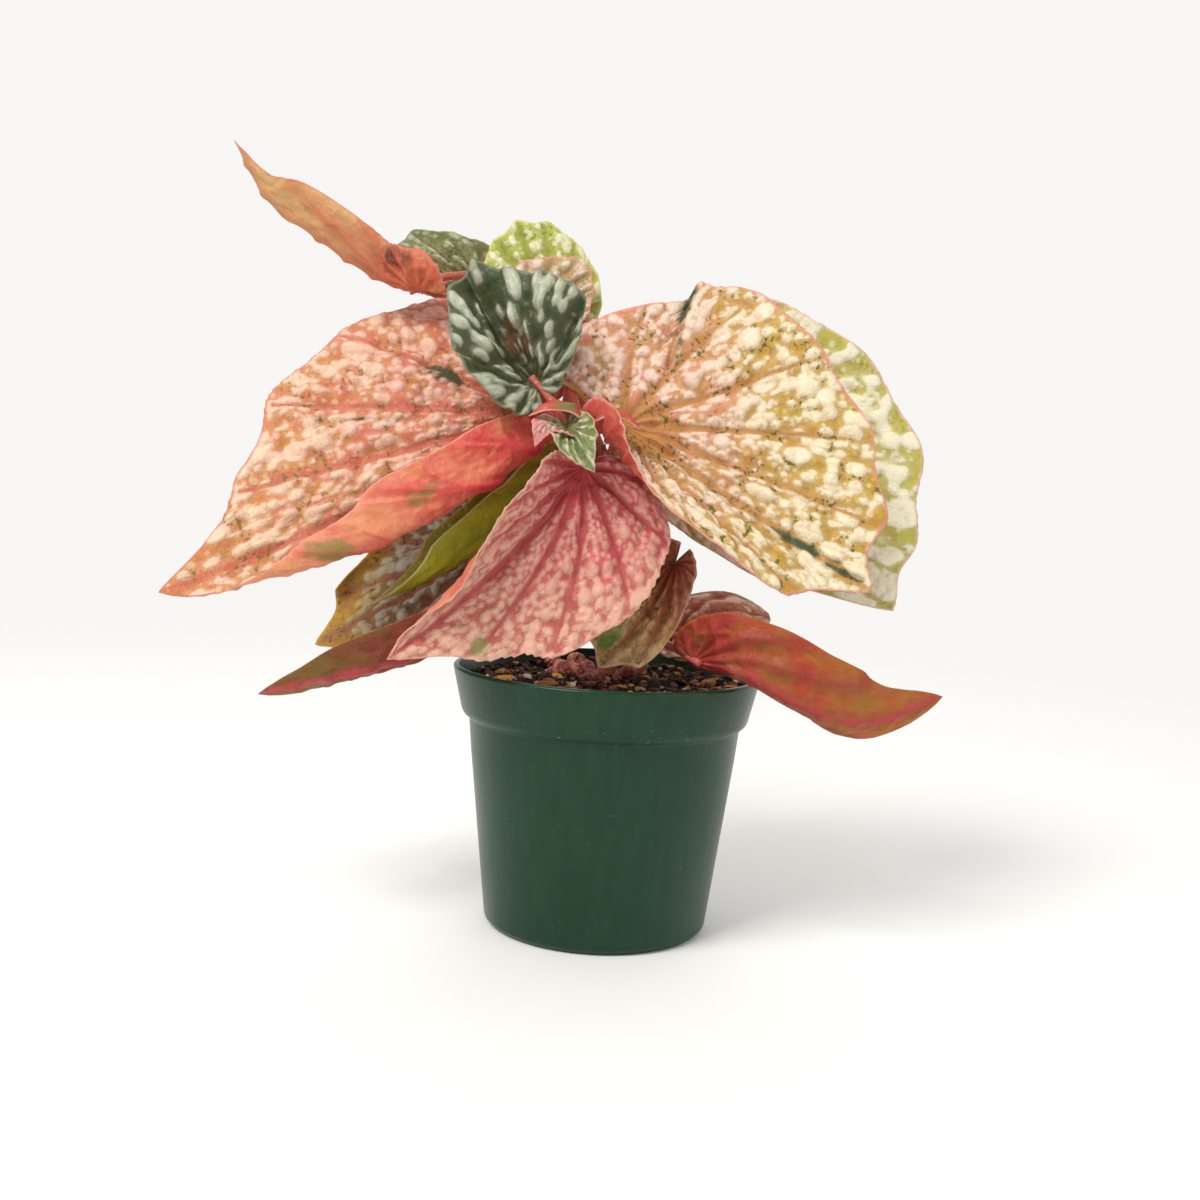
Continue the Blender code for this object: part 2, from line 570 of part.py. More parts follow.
clear_scene()
build_pot()
build_soil()
for cane_name, (cane_points, cane_radius) in CANES.items():
    build_cane(cane_name, cane_points, cane_radius)
for leaf_name, leaf_shape in LEAVES.items():
    build_leaf(leaf_name, leaf_shape)
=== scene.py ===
"""A potted begonia with speckled leaves, dressed over its solid model for a studio picture."""

import math

import bmesh
import bpy
import numpy as np
from mathutils import Matrix, Vector


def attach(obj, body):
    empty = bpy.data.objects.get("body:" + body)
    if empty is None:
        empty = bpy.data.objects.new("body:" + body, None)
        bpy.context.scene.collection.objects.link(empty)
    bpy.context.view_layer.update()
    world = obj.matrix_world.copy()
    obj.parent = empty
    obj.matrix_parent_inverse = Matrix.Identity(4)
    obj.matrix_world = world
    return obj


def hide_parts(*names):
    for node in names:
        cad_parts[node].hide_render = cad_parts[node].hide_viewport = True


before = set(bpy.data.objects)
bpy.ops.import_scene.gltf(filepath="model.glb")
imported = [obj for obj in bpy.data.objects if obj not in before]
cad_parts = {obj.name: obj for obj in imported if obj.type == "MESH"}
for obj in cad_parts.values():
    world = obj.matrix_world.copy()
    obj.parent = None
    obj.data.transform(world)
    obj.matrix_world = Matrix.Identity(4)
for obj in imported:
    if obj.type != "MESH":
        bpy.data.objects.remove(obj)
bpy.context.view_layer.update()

# The pot is a round nursery pot, injection moulded in forest green plastic. It has a tall rim band, one
# small step under it, a faint mould line below that, and drain holes in a flat underside. Handling has
# scuffed the lower edge of the rim pale.
MM = 0.001
RIM_TOP, RIM_LOW, WALL_TOP, WALL_LOW, BASE = 38.0, 35.6, 33.6, 32.8, 27.8  # outer radii
POT_HEIGHT, RIM_LOW_AT, WALL_TOP_AT, WALL_LOW_AT = 64.0, 53.2, 51.0, 43.0
POT_WALL, POT_FLOOR = 1.3, 1.6
HOLES, HOLE_RADIUS, HOLE_CIRCLE, PUNCH_LENGTH = 6, 3.2, 18.0, 6.0
FOOT_IN, FOOT_UP, STEP_IN, STEP_DOWN, LIP, FLOOR_IN = 1.2, 1.4, 0.5, 1.0, 0.5, 0.3  # bevels
LEDGE_BELOW, LEDGE_ABOVE, LIP_WORN = (50.5, 52.5), (57.2, 53.5), (62.5, 63.8)  # heights of the scuffs
SHARPEST = math.radians(45)


def colour(code):
    """A colour chart code, such as e8b49a, as linear red, green and blue."""
    parts = [int(code[i : i + 2], 16) / 255 for i in (0, 2, 4)]
    return (*(p / 12.92 if p <= 0.04045 else ((p + 0.055) / 1.055) ** 2.4 for p in parts), 1.0)


def put(tree, kind, sockets, output=0, **settings):
    """Add a node, link or set its sockets, and give one of its outputs."""
    node = tree.nodes.new("ShaderNode" + kind)
    for key, value in settings.items():
        setattr(node, key, value)
    for key, value in sockets.items():
        if isinstance(value, Value):
            tree.links.new(value.socket, node.inputs[key])
        else:
            node.inputs[key].default_value = value
    return Value(tree, node.outputs[output])


class Value:
    """What a node puts out at each point of a surface. Values are added, subtracted and multiplied."""

    def __init__(self, tree, socket):
        self.tree, self.socket = tree, socket

    def calc(self, operation, first, second):
        return put(self.tree, "Math", {0: first, 1: second}, operation=operation)

    def __add__(self, other):
        return self.calc("ADD", self, other)

    def __sub__(self, other):
        return self.calc("SUBTRACT", self, other)

    def __rsub__(self, other):
        return self.calc("SUBTRACT", other, self)

    def __mul__(self, other):
        return self.calc("MULTIPLY", self, other)

    def __pow__(self, other):
        return self.calc("POWER", self, other)

    def larger(self, other):
        return self.calc("MAXIMUM", self, other)

    def twin(self, output):
        """What the same node puts out elsewhere."""
        return Value(self.tree, self.socket.node.outputs[output])

    def fade(self, low, high):
        """Rises smoothly from 0 to 1 as the value goes from low to high. It falls where high is less."""
        sockets = {"Value": self, "From Min": low, "From Max": high}
        return put(self.tree, "MapRange", sockets, interpolation_type="SMOOTHSTEP")


class Finish:
    """A material with one shader, whose colour is laid on coat by coat."""

    def __init__(self, name, roughness, gloss=0.5, on_leaf=False):
        self.material = bpy.data.materials.new(name)
        self.material.use_nodes = True
        self.tree = self.material.node_tree
        self.shader = self.tree.nodes["Principled BSDF"].inputs
        self.shader["Roughness"].default_value = roughness
        self.shader["Specular IOR Level"].default_value = gloss
        self.where = self.mark("lay", "Vector") if on_leaf else self.place()
        self.colour = None

    def place(self):
        return put(self.tree, "TexCoord", {}, "Object")

    def mark(self, name, output="Fac"):
        return put(self.tree, "Attribute", {}, output, attribute_name=name)

    def grain(self, size, detail=2.0, warp=0.0, stretch=None, where=None):
        """Cloudy variation from 0 to 1 with lumps of a size in millimetres."""
        where = where or self.where
        if stretch:
            where = put(self.tree, "Mapping", {"Vector": where, "Scale": stretch})
        sockets = {"Vector": where, "Scale": 1 / (size * MM), "Detail": detail, "Distortion": warp}
        return put(self.tree, "TexNoise", sockets)

    def cells(self, size, loose=1.0, **settings):
        sockets = {"Vector": self.where, "Scale": 1 / (size * MM), "Randomness": loose}
        return put(self.tree, "TexVoronoi", sockets, **settings)

    def mix(self, share, first, second, way="MIX"):
        sockets = {0: share, 6: first, 7: second}
        return put(self.tree, "Mix", sockets, 2, data_type="RGBA", blend_type=way)

    def ground(self, share, first, second):
        self.colour = self.mix(share, colour(first), colour(second))

    def tint(self, share, coat, way="MIX"):
        """Lay a coat over a share of the surface: a colour code, or a colour worked out before."""
        coat = colour(coat) if isinstance(coat, str) else coat
        self.colour = self.mix(share, self.colour, coat, way)

    def close(self, height, roughness=None, alpha=None):
        """Link the colour, roughness and alpha, and bumps of a height in millimetres, to the shader."""
        bump = put(self.tree, "Bump", {"Height": height, "Distance": MM, "Strength": 1.0})
        links = {"Base Color": self.colour, "Roughness": roughness, "Alpha": alpha, "Normal": bump}
        for key, value in links.items():
            if value:
                self.tree.links.new(value.socket, self.shader[key])
        return self.material


def new_object(name, data):
    thing = bpy.data.objects.new(name, data)
    bpy.context.scene.collection.objects.link(thing)
    return thing


def show(name, mesh, slot, node, *finishes, smooth=True):
    """Put a piece on the plant in place of its plain solid."""
    if smooth:
        mesh.shade_smooth()
    for finish in finishes:
        mesh.materials.append(finish)
    thing = new_object(name, mesh)
    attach(thing, "root")
    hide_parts(node)


def mesh_from(shape, name):
    mesh = bpy.data.meshes.new(name)
    shape.to_mesh(mesh)
    shape.free()
    return mesh


def lathe(name, profile, steps):
    """Turn a profile of radii and heights about the upright axis."""
    shape = bmesh.new()
    points = [shape.verts.new((r * MM, 0, z * MM)) for r, z in profile]
    edges = [shape.edges.new(pair) for pair in zip(points, points[1:])]
    bmesh.ops.spin(shape, geom=points + edges, axis=(0, 0, 1), cent=(0, 0, 0), angle=math.tau, steps=steps)
    bmesh.ops.remove_doubles(shape, verts=shape.verts, dist=0.005 * MM)
    bmesh.ops.recalc_face_normals(shape, faces=shape.faces)
    return mesh_from(shape, name)


def rounded(points, radius=0.35, steps=4):
    """A profile with each corner between its ends rounded off."""
    points = [np.array(p, float) for p in points]
    out = [points[0]]
    for before, corner, after in zip(points, points[1:], points[2:]):
        sides = [before - corner, after - corner]
        near = min(radius, *(0.45 * np.linalg.norm(side) for side in sides))
        start, end = (corner + near * side / np.linalg.norm(side) for side in sides)
        for t in np.linspace(0, 1, steps):
            out.append((1 - t) ** 2 * start + 2 * t * (1 - t) * corner + t**2 * end)
    return [tuple(p) for p in out + [points[-1]]]


pot_profile = rounded([
    (0, 0), (BASE - FOOT_IN, 0), (BASE, FOOT_UP), (WALL_LOW, WALL_LOW_AT), (WALL_TOP, WALL_TOP_AT),
    (RIM_LOW - STEP_IN, RIM_LOW_AT - STEP_DOWN), (RIM_LOW, RIM_LOW_AT), (RIM_TOP, POT_HEIGHT - LIP),
    (RIM_TOP - LIP, POT_HEIGHT), (RIM_TOP - POT_WALL, POT_HEIGHT), (RIM_LOW - POT_WALL, RIM_LOW_AT),
    (WALL_TOP - POT_WALL, WALL_TOP_AT), (WALL_LOW - POT_WALL, WALL_LOW_AT),
    (BASE - POT_WALL - FLOOR_IN, POT_FLOOR), (0, POT_FLOOR)])
blank = new_object("pot_blank", lathe("pot", pot_profile, 192))
shape, radius = bmesh.new(), HOLE_RADIUS * MM
for turn in (math.tau * (i + 0.5) / HOLES for i in range(HOLES)):
    middle = (HOLE_CIRCLE * MM * math.cos(turn), HOLE_CIRCLE * MM * math.sin(turn), 0)
    bmesh.ops.create_cone(shape, cap_ends=True, segments=40, radius1=radius, radius2=radius,
                          depth=PUNCH_LENGTH * MM, matrix=Matrix.Translation(middle))
punches = new_object("punches", mesh_from(shape, "punches"))
cut = blank.modifiers.new("drain holes", "BOOLEAN")
cut.operation, cut.object, cut.solver = "DIFFERENCE", punches, "EXACT"
pot_mesh = bpy.data.meshes.new_from_object(blank.evaluated_get(bpy.context.evaluated_depsgraph_get()))
for used in (blank, punches):
    bpy.data.objects.remove(used, do_unlink=True)

plastic = Finish("green_plastic", 0.33, 0.3)
clouds = plastic.grain(18, 3)
plastic.ground(clouds, "0a301b", "0f3b22")
plastic.tint(plastic.grain(2.5, 3, stretch=(1, 1, 0.12)).fade(0.35, 0.75) * 0.4, "17422a")
scuffs = plastic.grain(2.2, 5, 1.5, (1, 1, 4)).fade(0.66, 0.72)
height = put(plastic.tree, "SeparateXYZ", {"Vector": plastic.where}, "Z") * (1 / MM)
ledge = height.fade(*LEDGE_BELOW) * height.fade(*LEDGE_ABOVE)
scratches = plastic.grain(3.0, 6, 0.6, (1, 1, 9)).fade(0.72, 0.76)
worn = (scuffs * (ledge + height.fade(*LIP_WORN) * 0.8)).larger(scratches * 0.35)
plastic.tint(worn * 0.55, "a9b8a4")
plastic.tint(plastic.grain(0.9, 4).fade(0.58, 0.8) * 0.05, "8f9a84")
moulding = plastic.grain(1.2, 4) * 0.05 + worn * -0.04
green_plastic = plastic.close(moulding, clouds * 0.14 + worn * 0.35 + 0.24)
show("pot_body", pot_mesh, "pot_plastic", "pot", green_plastic)
pot_mesh.set_sharp_from_angle(angle=SHARPEST)

# The soil is a dark, coarse mix of peat, bark flakes and grit with a few beads of white perlite. It lies
# loosely in the pot, a little below the rim and heaped at the front left, and the canes grow out of it.
SOIL_EDGE, SOIL_MOUND, SOIL_GRAIN, CRUMB = 60.4, 1.2, 0.5, 0.25
HEAP, HEAP_AT, HEAP_REACH = 1.9, (-17, -22), 13.0
GAP, STEP_GAP, CORNER_GAP = 0.3, 0.4, 0.9


def soil_height(x, y):
    mound = SOIL_MOUND * np.clip(1 - (x * x + y * y) / (RIM_TOP - POT_WALL) ** 2, 0, 1)
    mound = mound + HEAP * np.exp(-((x - HEAP_AT[0]) ** 2 + (y - HEAP_AT[1]) ** 2) / HEAP_REACH**2)
    lumps = np.sin(0.9 * x + 1.3 * y) * np.sin(1.1 * y - 0.5 * x + 2)
    lumps = lumps + 0.6 * np.sin(2.1 * x + 0.4) * np.sin(1.7 * y)
    return SOIL_EDGE + mound + SOIL_GRAIN * lumps


def new_mesh(name, points, faces):
    mesh = bpy.data.meshes.new(name)
    mesh.from_pydata(np.asarray(points, float).tolist(), [], faces)
    mesh.update()
    return mesh


soil_reach = float(np.interp(SOIL_EDGE, [RIM_LOW_AT, POT_HEIGHT], [RIM_LOW, RIM_TOP])) - POT_WALL - GAP
soil_rings = [(0, POT_FLOOR + GAP), (BASE - POT_WALL - CORNER_GAP, POT_FLOOR + GAP)]
for radius, level in ((WALL_LOW, WALL_LOW_AT), (WALL_TOP, WALL_TOP_AT), (RIM_LOW, RIM_LOW_AT)):
    soil_rings.append((radius - POT_WALL - GAP, level + STEP_GAP))
soil_rings += [(r, SOIL_EDGE) for r in np.linspace(soil_reach, 0, 70)]
soil_mesh = lathe("soil_bed", soil_rings, 200)
bed = np.empty(len(soil_mesh.vertices) * 3)
soil_mesh.vertices.foreach_get("co", bed)
bed = bed.reshape(-1, 3) / MM
top = bed[:, 2] > SOIL_EDGE - 0.5
crumbly = CRUMB * np.sin(4.1 * bed[:, 0] + 1.7 * bed[:, 1]) * np.sin(3.3 * bed[:, 1] - 2.9 * bed[:, 0])
bed[top, 2] = (soil_height(bed[:, 0], bed[:, 1]) + crumbly)[top]
soil_mesh.vertices.foreach_set("co", (bed * MM).ravel())

peat = Finish("peat", 0.95, 0.25)
crumbs = peat.grain(1.6, 6)
peat.ground(crumbs, "0c0806", "33251b")
peat.tint(peat.grain(0.7, 4).fade(0.6, 0.72), "5f4a36")
show("soil_bed", soil_mesh, "soil_mix", "soil", peat.close(crumbs * 1.4))

CHIP_KINDS = [  # how many, length from and to, width and thickness as shares of length, colours
    ("bark_chips", 280, (2.4, 7.0), 0.5, 0.3, "1f140d", "704830"),
    ("bark_pale", 90, (2.4, 6.8), 0.5, 0.35, "9a6430", "e0b068"),
    ("bark_red", 60, (2.4, 6.5), 0.5, 0.4, "6a382c", "b87c6a"),
    ("grit", 240, (0.7, 2.0), 0.8, 0.7, "2b221c", "a09484"),
    ("perlite", 34, (1.3, 3.2), 0.9, 0.85, "c4beb4", "e8e4da"),
    ("fibres", 60, (5.0, 12.0), 0.05, 0.05, "2c1d12", "6b4c30"),
]
CHIP_MARGIN, CHIP_CUTS, CHIP_THINNEST, CHIP_TILT = 1.2, 7, 0.35, 0.3
FEET = [(0, 4, 3.2), (8, 11, 3.0)]  # where the canes stand, and the room they need
block = bmesh.new()
bmesh.ops.create_icosphere(block, subdivisions=2, radius=0.5)
BALL = np.array([v.co for v in block.verts])
BALL_FACES = [[v.index for v in f.verts] for f in block.faces]
block.free()
draw = np.random.default_rng(11)
for kind, count, (shortest, longest), width, thickness, dark, light in CHIP_KINDS:
    points, faces, shades = [], [], []
    while len(points) < count:
        turn, reach = draw.uniform(0, math.tau), (soil_reach - CHIP_MARGIN) * math.sqrt(draw.uniform(0, 1))
        x, y = reach * math.cos(turn), reach * math.sin(turn)
        length = draw.uniform(shortest, longest) * draw.uniform(0.6, 1)
        if min(math.hypot(x - fx, y - fy) - room for fx, fy, room in FEET) < 0.3 * length:
            continue
        if math.hypot(x, y) + length / 2 > soil_reach:
            continue
        ball = BALL.copy()
        for _ in range(CHIP_CUTS):  # knock flat faces off it
            way = draw.normal(size=3)
            way /= np.linalg.norm(way)
            over = np.clip(ball @ way - draw.uniform(0.2, 0.36), 0, None)
            ball -= over[:, None] * way
        wide = length * width * draw.uniform(0.7, 1.3)
        ball = ball * [length, wide, max(CHIP_THINNEST, length * thickness * draw.uniform(0.7, 1.3))]
        spin = Matrix.Rotation(draw.uniform(0, math.tau), 3, "Z")
        for axis in "XY":
            spin = spin @ Matrix.Rotation(draw.normal(0, CHIP_TILT), 3, axis)
        ball = ball @ np.array(spin).T
        ball += [x, y, float(soil_height(np.array(x), np.array(y))) + draw.uniform(-0.1, 0.55)]
        faces += [[i + len(points) * len(BALL) for i in f] for f in BALL_FACES]
        points.append(ball)
        shades.append(np.full(len(BALL), draw.uniform(0, 1)))
    chips = new_mesh(kind, np.vstack(points) * MM, faces)
    chips.attributes.new("shade", "FLOAT", "POINT").data.foreach_set("value", np.concatenate(shades))
    chip = Finish(kind, 0.85, 0.3)
    chip.ground(chip.mark("shade") ** 1.6, dark, light)
    chip.tint(chip.grain(0.6, 4, stretch=(3, 1, 1)) * 0.5, dark)
    show(kind, chips, "soil_mix", "soil", chip.close(chip.grain(0.5, 3) * 0.25), smooth=False)

# The canes are the plant's own stems, fleshy and red-brown, with a swollen joint and a scar wherever a
# leaf grows or has dropped. They stand in the soil and narrow to a bud.
CANES = {  # the line of each cane, and its radius
    "cane_front": ([(0, 4, 44), (0, 4, 64), (-1, 2, 95), (-4, -3, 119)], 2.6),
    "cane_rear": ([(8, 11, 44), (8, 11, 64), (6, 16, 100), (-7, 21, 141)], 2.4),
}
CANE_JOINTS, JOINT_SWELL, CANE_TAPER, CANE_BUD, CANE_TIP = 7, 0.16, 0.18, 0.05, 0.35
CANE_STEPS = 170


def through(points, where):
    """A smooth line through points, read at positions counted in points."""
    points = np.asarray(points, float)
    flat = points.reshape(len(points), -1)
    ends = np.vstack([2 * flat[0] - flat[1], flat, 2 * flat[-1] - flat[-2]])
    start = np.clip(np.floor(where).astype(int), 0, len(points) - 2)
    u = (where - start)[:, None]
    a, b, c, d = (ends[start + k] for k in range(4))
    line = 0.5 * (2 * b + (c - a) * u + (2 * a - 5 * b + 4 * c - d) * u**2 + (3 * b - a - 3 * c + d) * u**3)
    return line.reshape((len(where),) + points.shape[1:])


def unit(vectors):
    return vectors / np.maximum(np.linalg.norm(vectors, axis=-1, keepdims=True), 1e-9)


def lengths_along(line):
    return np.concatenate([[0], np.cumsum(np.linalg.norm(np.diff(line, axis=0), axis=1))])


def cane_shape(points, radius):
    share = np.linspace(0, 1, CANE_STEPS)
    swell = 1 + JOINT_SWELL * np.clip((np.cos(math.tau * CANE_JOINTS * share) - 0.8) / 0.2, 0, 1) ** 0.7
    bud = np.clip((1 - share) / CANE_BUD, CANE_TIP, 1)
    line = through(points, np.linspace(0, len(points) - 1, CANE_STEPS))
    return line, radius * (1 - CANE_TAPER * share) * swell * bud


def round_tube(line, radii, sides):
    """Points and faces of a closed round tube along a line, and how far from its start each point is."""
    heads = unit(np.gradient(line, axis=0))
    across = np.cross(heads[0], [0.31, 0.95, 0.05])
    rings, gone = [], lengths_along(line)
    turn = np.linspace(0, math.tau, sides, endpoint=False)
    for place, head, radius in zip(line, heads, radii):
        across = unit(across - head * (head @ across))
        other = np.cross(head, across)
        rings.append(place + radius * (np.cos(turn)[:, None] * across + np.sin(turn)[:, None] * other))
    points = np.vstack(rings + [line[:1], line[-1:]])
    last, first = len(points) - 1, len(points) - 2
    faces = []
    for s in range(sides):
        t = (s + 1) % sides
        for r in range(0, (len(line) - 1) * sides, sides):
            faces.append((r + s, r + t, r + sides + t, r + sides + s))
        faces.append((first, t, s))
        faces.append((last, last - 1 - sides + s, last - 1 - sides + t))
    return points, faces, np.concatenate([np.repeat(gone, sides), [0, gone[-1]]])


bark = Finish("cane_skin", 0.45)
bark.ground(bark.grain(9, 3), "7d3d2a", "a8603c")
bark.tint(bark.grain(1.2, 3, stretch=(1, 1, 0.2)).fade(0.5, 0.7), "8a4a30")
bark.tint(bark.grain(0.7, 1, stretch=(1, 1, 0.5)).fade(0.7, 0.74) * 0.6, "d9a98a")
cane_skin = bark.close(bark.grain(0.8, 4) * 0.15)
for name, cane in CANES.items():
    points, faces, _ = round_tube(*cane_shape(*cane), 32)
    show(name + "_stem", new_mesh(name, points * MM, faces), "cane_bark", name, cane_skin)

# At the foot of the front cane lies a knobby, half buried old shoot with the stubs of dropped leaves, dark
# red-brown to dusky pink and still fleshy.
OLD_SHOOTS = [  # the line of each shoot, and its radius
    ([(-15, -2, 58.5), (-11, -6, 63.5), (-5, -9, 64.0), (1, -9, 59)], 2.4),
    ([(-3, -1, 60), (-6, -5, 65), (-9, -8, 67)], 1.9),
    ([(3, -3, 59), (4, -7, 63.5), (7, -10, 65)], 1.7),
    ([(-8, 1, 59), (-12, 0, 64), (-15, -1, 66)], 1.8),
]
shoots, shoot_faces = [], []
for stops, girth in OLD_SHOOTS:
    share = np.linspace(0, 1, 48)
    knobs = 1 + 0.16 * np.sin(17 * share + girth) ** 3 + 0.1 * np.sin(41 * share)
    radii = girth * knobs * np.clip((1.03 - share) / 0.12, 0, 1) ** 0.5
    points, faces, _ = round_tube(through(stops, (len(stops) - 1) * share), radii, 24)
    shoot_faces += [tuple(i + sum(map(len, shoots)) for i in face) for face in faces]
    shoots.append(points)
scar = Finish("old_shoot_skin", 0.5, 0.3)
scar.ground(scar.grain(4, 4, 1.0).fade(0.38, 0.62), "74302a", "c67a6c")
scar.tint(scar.grain(1.2, 5).fade(0.5, 0.7), "5c3626")
scar.tint(scar.grain(0.8, 3).fade(0.62, 0.7), "d8aa8c")
show("old_shoots", new_mesh("old_shoots", np.vstack(shoots) * MM, shoot_faces), "cane_bark", "cane_front",
     scar.close(scar.grain(1.0, 5) * 0.7))

# Each leaf is a lopsided angel wing on a fleshy stalk: a thin blade, puckered and blistered, with a midrib
# and six veins to each half. The left leaf is the largest, peach pink with cream blisters, and its lower
# half has rolled over to show the salmon underside.
VEIN_ANGLES, LOBE_ANGLE = [0, 15, 34, 58, 88, 124], 165  # in degrees from the midrib
VEINS = len(VEIN_ANGLES)
SCALLOP, PUCKER, PUCKER_REACH, CREASE = 0.03, 0.8, 25.0, 3.0
TOOTH_LENGTH, TEETH_SWAY, TEETH_SWELL, TOOTHED_FROM = 2.3, 3.7, 5.1, 10.0
VEIN_WIDTH, RIB_WIDTH, FORK_WIDTH, RUNG_WIDTH = 0.62, 0.85, 0.28, 0.3
VEIN_TAPER, VEIN_DRIFT, VEIN_END, FORK_SPREAD, THIN_TAPER = 0.82, 0.16, 0.97, 0.36, 0.7
FORK_AHEAD, FORK_BEHIND = 0.5, 0.6  # where veins fork, as shares of their length
RUNGS = (0.3, 0.45, 0.6, 0.75, 0.88)  # where small veins leave the midrib
STALK_RADIUS, STALK_TAPER, STALK_LAP, STALK_DEPTH, STALK_FLARE = 1.2, 0.75, 2.5, 0.5, 0.35
BLADE = 0.42  # thickness
FAR = 1e3


def half(veins, **shape):
    """One half of a blade: vein lengths from beside the midrib to the basal lobe, the slope up from the
    midrib and the turn of the margin, in degrees at the basal lobe, the middle and the tip, and how far
    from the midrib the turn lies."""
    level = {"rise": 0, "roll": 0, "fold": 12, "bend": 8, "tip": 1.25, "lobe": LOBE_ANGLE}
    return {"veins": veins, **level, **shape}


def eased(share):
    return share**2 * (3 - 2 * share)


def along_thirds(values, share):
    base, middle, tip = np.broadcast_to(values, 3)
    low = np.clip((share + 0.25) / 0.6, 0, 1)
    high = np.clip((share - 0.35) / 0.65, 0, 1)
    return base + (middle - base) * eased(low) + (tip - middle) * eased(high)


def rib_frame(rib, face, along):
    """Place, heading and upward normal of the midrib at distances from the stalk, and its length."""
    line = through(rib, np.linspace(0, len(rib) - 1, 121))
    gone = lengths_along(line)
    heads = unit(np.gradient(line, gone, axis=0))
    inside = np.clip(along, 0, gone[-1])
    place, head = (np.stack([np.interp(inside, gone, v) for v in way.T], -1) for way in (line, heads))
    head = unit(head)
    place = place + head * (along - inside)[:, None]
    face = np.array(face, float)
    return place, head, unit(face - head * (head @ face)[:, None]), gone[-1]


def margin(length, left, right, columns, teeth, peak, seed):
    """Positions round the blade counted in veins, and the margin's reach, angle and side there."""
    x = np.linspace(-VEINS, VEINS, 2 * VEINS * columns + 1)
    is_left = x <= 0
    reach = through(np.array([*left["veins"][::-1], length, *right["veins"]], float), x + VEINS)
    beside = np.where(is_left, left["veins"][0], right["veins"][0])
    sharp = np.where(is_left, left["tip"], right["tip"])
    tip = beside + (length - beside) * np.clip(1 - np.abs(x), 0, 1) ** sharp
    reach = np.where(np.abs(x) < 1, tip, reach)
    reach = reach * (1 - SCALLOP * np.sin(math.pi * (np.abs(x) % 1)) ** 2)
    angles = [through(np.radians([*VEIN_ANGLES, own["lobe"]]), np.abs(x)) for own in (left, right)]
    angle, side = np.where(is_left, *angles), np.where(is_left, 1.0, -1.0)
    edge = lengths_along(np.stack([reach * np.cos(angle), reach * np.sin(angle) * side], -1))
    saw = edge / TOOTH_LENGTH + 0.35 * np.sin(edge / TEETH_SWAY)
    tooth = teeth * (0.5 + 0.5 * np.sin(edge / TEETH_SWELL + seed)) * (saw % 1 - 0.5)
    reach = reach + tooth * np.clip(reach / TOOTHED_FROM, 0, 1)
    if peak:
        where, height, width = peak
        cliff = 0.5 + 0.5 * np.tanh((x - where) / 0.03)
        reach = reach * (1 + height * np.exp(-((x - where) / width) ** 2) * cliff)
    return x, reach, angle, side


def line_distance(points, line, widths):
    """Distance in millimetres from points to the edge of a line that has its own half width along it."""
    nearest = np.full(len(points), FAR, np.float32)
    for (a, wa), (b, wb) in zip(zip(line, widths), zip(line[1:], widths[1:])):
        way = b - a
        t = np.clip((points - a) @ way / max(way @ way, 1e-9), 0, 1)
        gap = np.linalg.norm(points - a - t[:, None] * way, axis=1) - (wa + (wb - wa) * t)
        nearest = np.minimum(nearest, gap)
    return nearest


def vein_distances(flat, at, length):
    """Distance from points to the main veins, and to their forks and the small veins off the midrib."""
    main, small, scale = np.full(len(flat), FAR), np.full(len(flat), FAR), (length / 60) ** 0.5
    go, fork = np.linspace(0, VEIN_END, 12), np.linspace(0, 1, 6)
    thin = scale * (1 - THIN_TAPER * fork)
    for k in range(-VEINS, VEINS + 1):
        drift = -np.sign(k) * VEIN_DRIFT
        width = (VEIN_WIDTH if k else RIB_WIDTH) * scale * (1 - VEIN_TAPER * go)
        main = np.minimum(main, line_distance(flat, at(k + drift * go**2, go), width))
        for way, start in ((-1, FORK_BEHIND), (1, FORK_AHEAD)):
            if k and abs(k + 0.4 * way) <= VEINS:
                turn = k + drift * start**2 + way * FORK_SPREAD * fork
                path = at(turn, start + (VEIN_END - start) * fork)
                small = np.minimum(small, line_distance(flat, path, FORK_WIDTH * thin))
    for rung in RUNGS:
        for way in (-1, 1):
            start = np.array([[rung * length, 0.0]])
            end = at(np.array([way * 0.75 * (1 - rung)]), np.array([0.96]))
            path = start + (end - start) * fork[:, None]
            small = np.minimum(small, line_distance(flat, path, RUNG_WIDTH * thin))
    return main, small


def spot_distance(draw, flat, at, count, small, large, stretch, crowd, melt, clear=0.1, end=1.0):
    """Distance to the edge of pale blisters strewn over the blade: how many, their smallest and largest
    radius, how long and how close they are, how they melt together, how clear of the veins they keep, and
    how far out they go."""
    centres, sizes = [], []
    for _ in range(30 * count):
        if len(centres) == count:
            break
        where = draw.uniform(-5.95, 5.95)
        if abs(where - round(where)) < clear:
            continue
        out = draw.uniform(0.1, end) ** 0.65
        middle = at(np.array([where]), np.array([out]))[0]
        size = (small + (large - small) * draw.uniform() ** 1.8) * (0.4 + 0.75 * out)
        if centres:
            gap = np.linalg.norm(np.array(centres) - middle, axis=1) - crowd * (np.array(sizes) + size)
            if gap.min() < 0:
                continue
        centres.append(middle)
        sizes.append(size)
    total = np.zeros(len(flat))
    for middle, size in zip(centres, sizes):
        way = middle / max(np.linalg.norm(middle), 1e-6)
        u, v = (flat - middle) @ way, (flat - middle) @ np.array([-way[1], way[0]])
        longer = stretch**0.5 * draw.uniform(0.85, 1.15)
        gap = np.sqrt((u / longer) ** 2 + (v * longer) ** 2) - size
        total += np.exp(-np.clip(gap, -4, 12) / melt)
    return -melt * np.log(np.maximum(total, 1e-20))


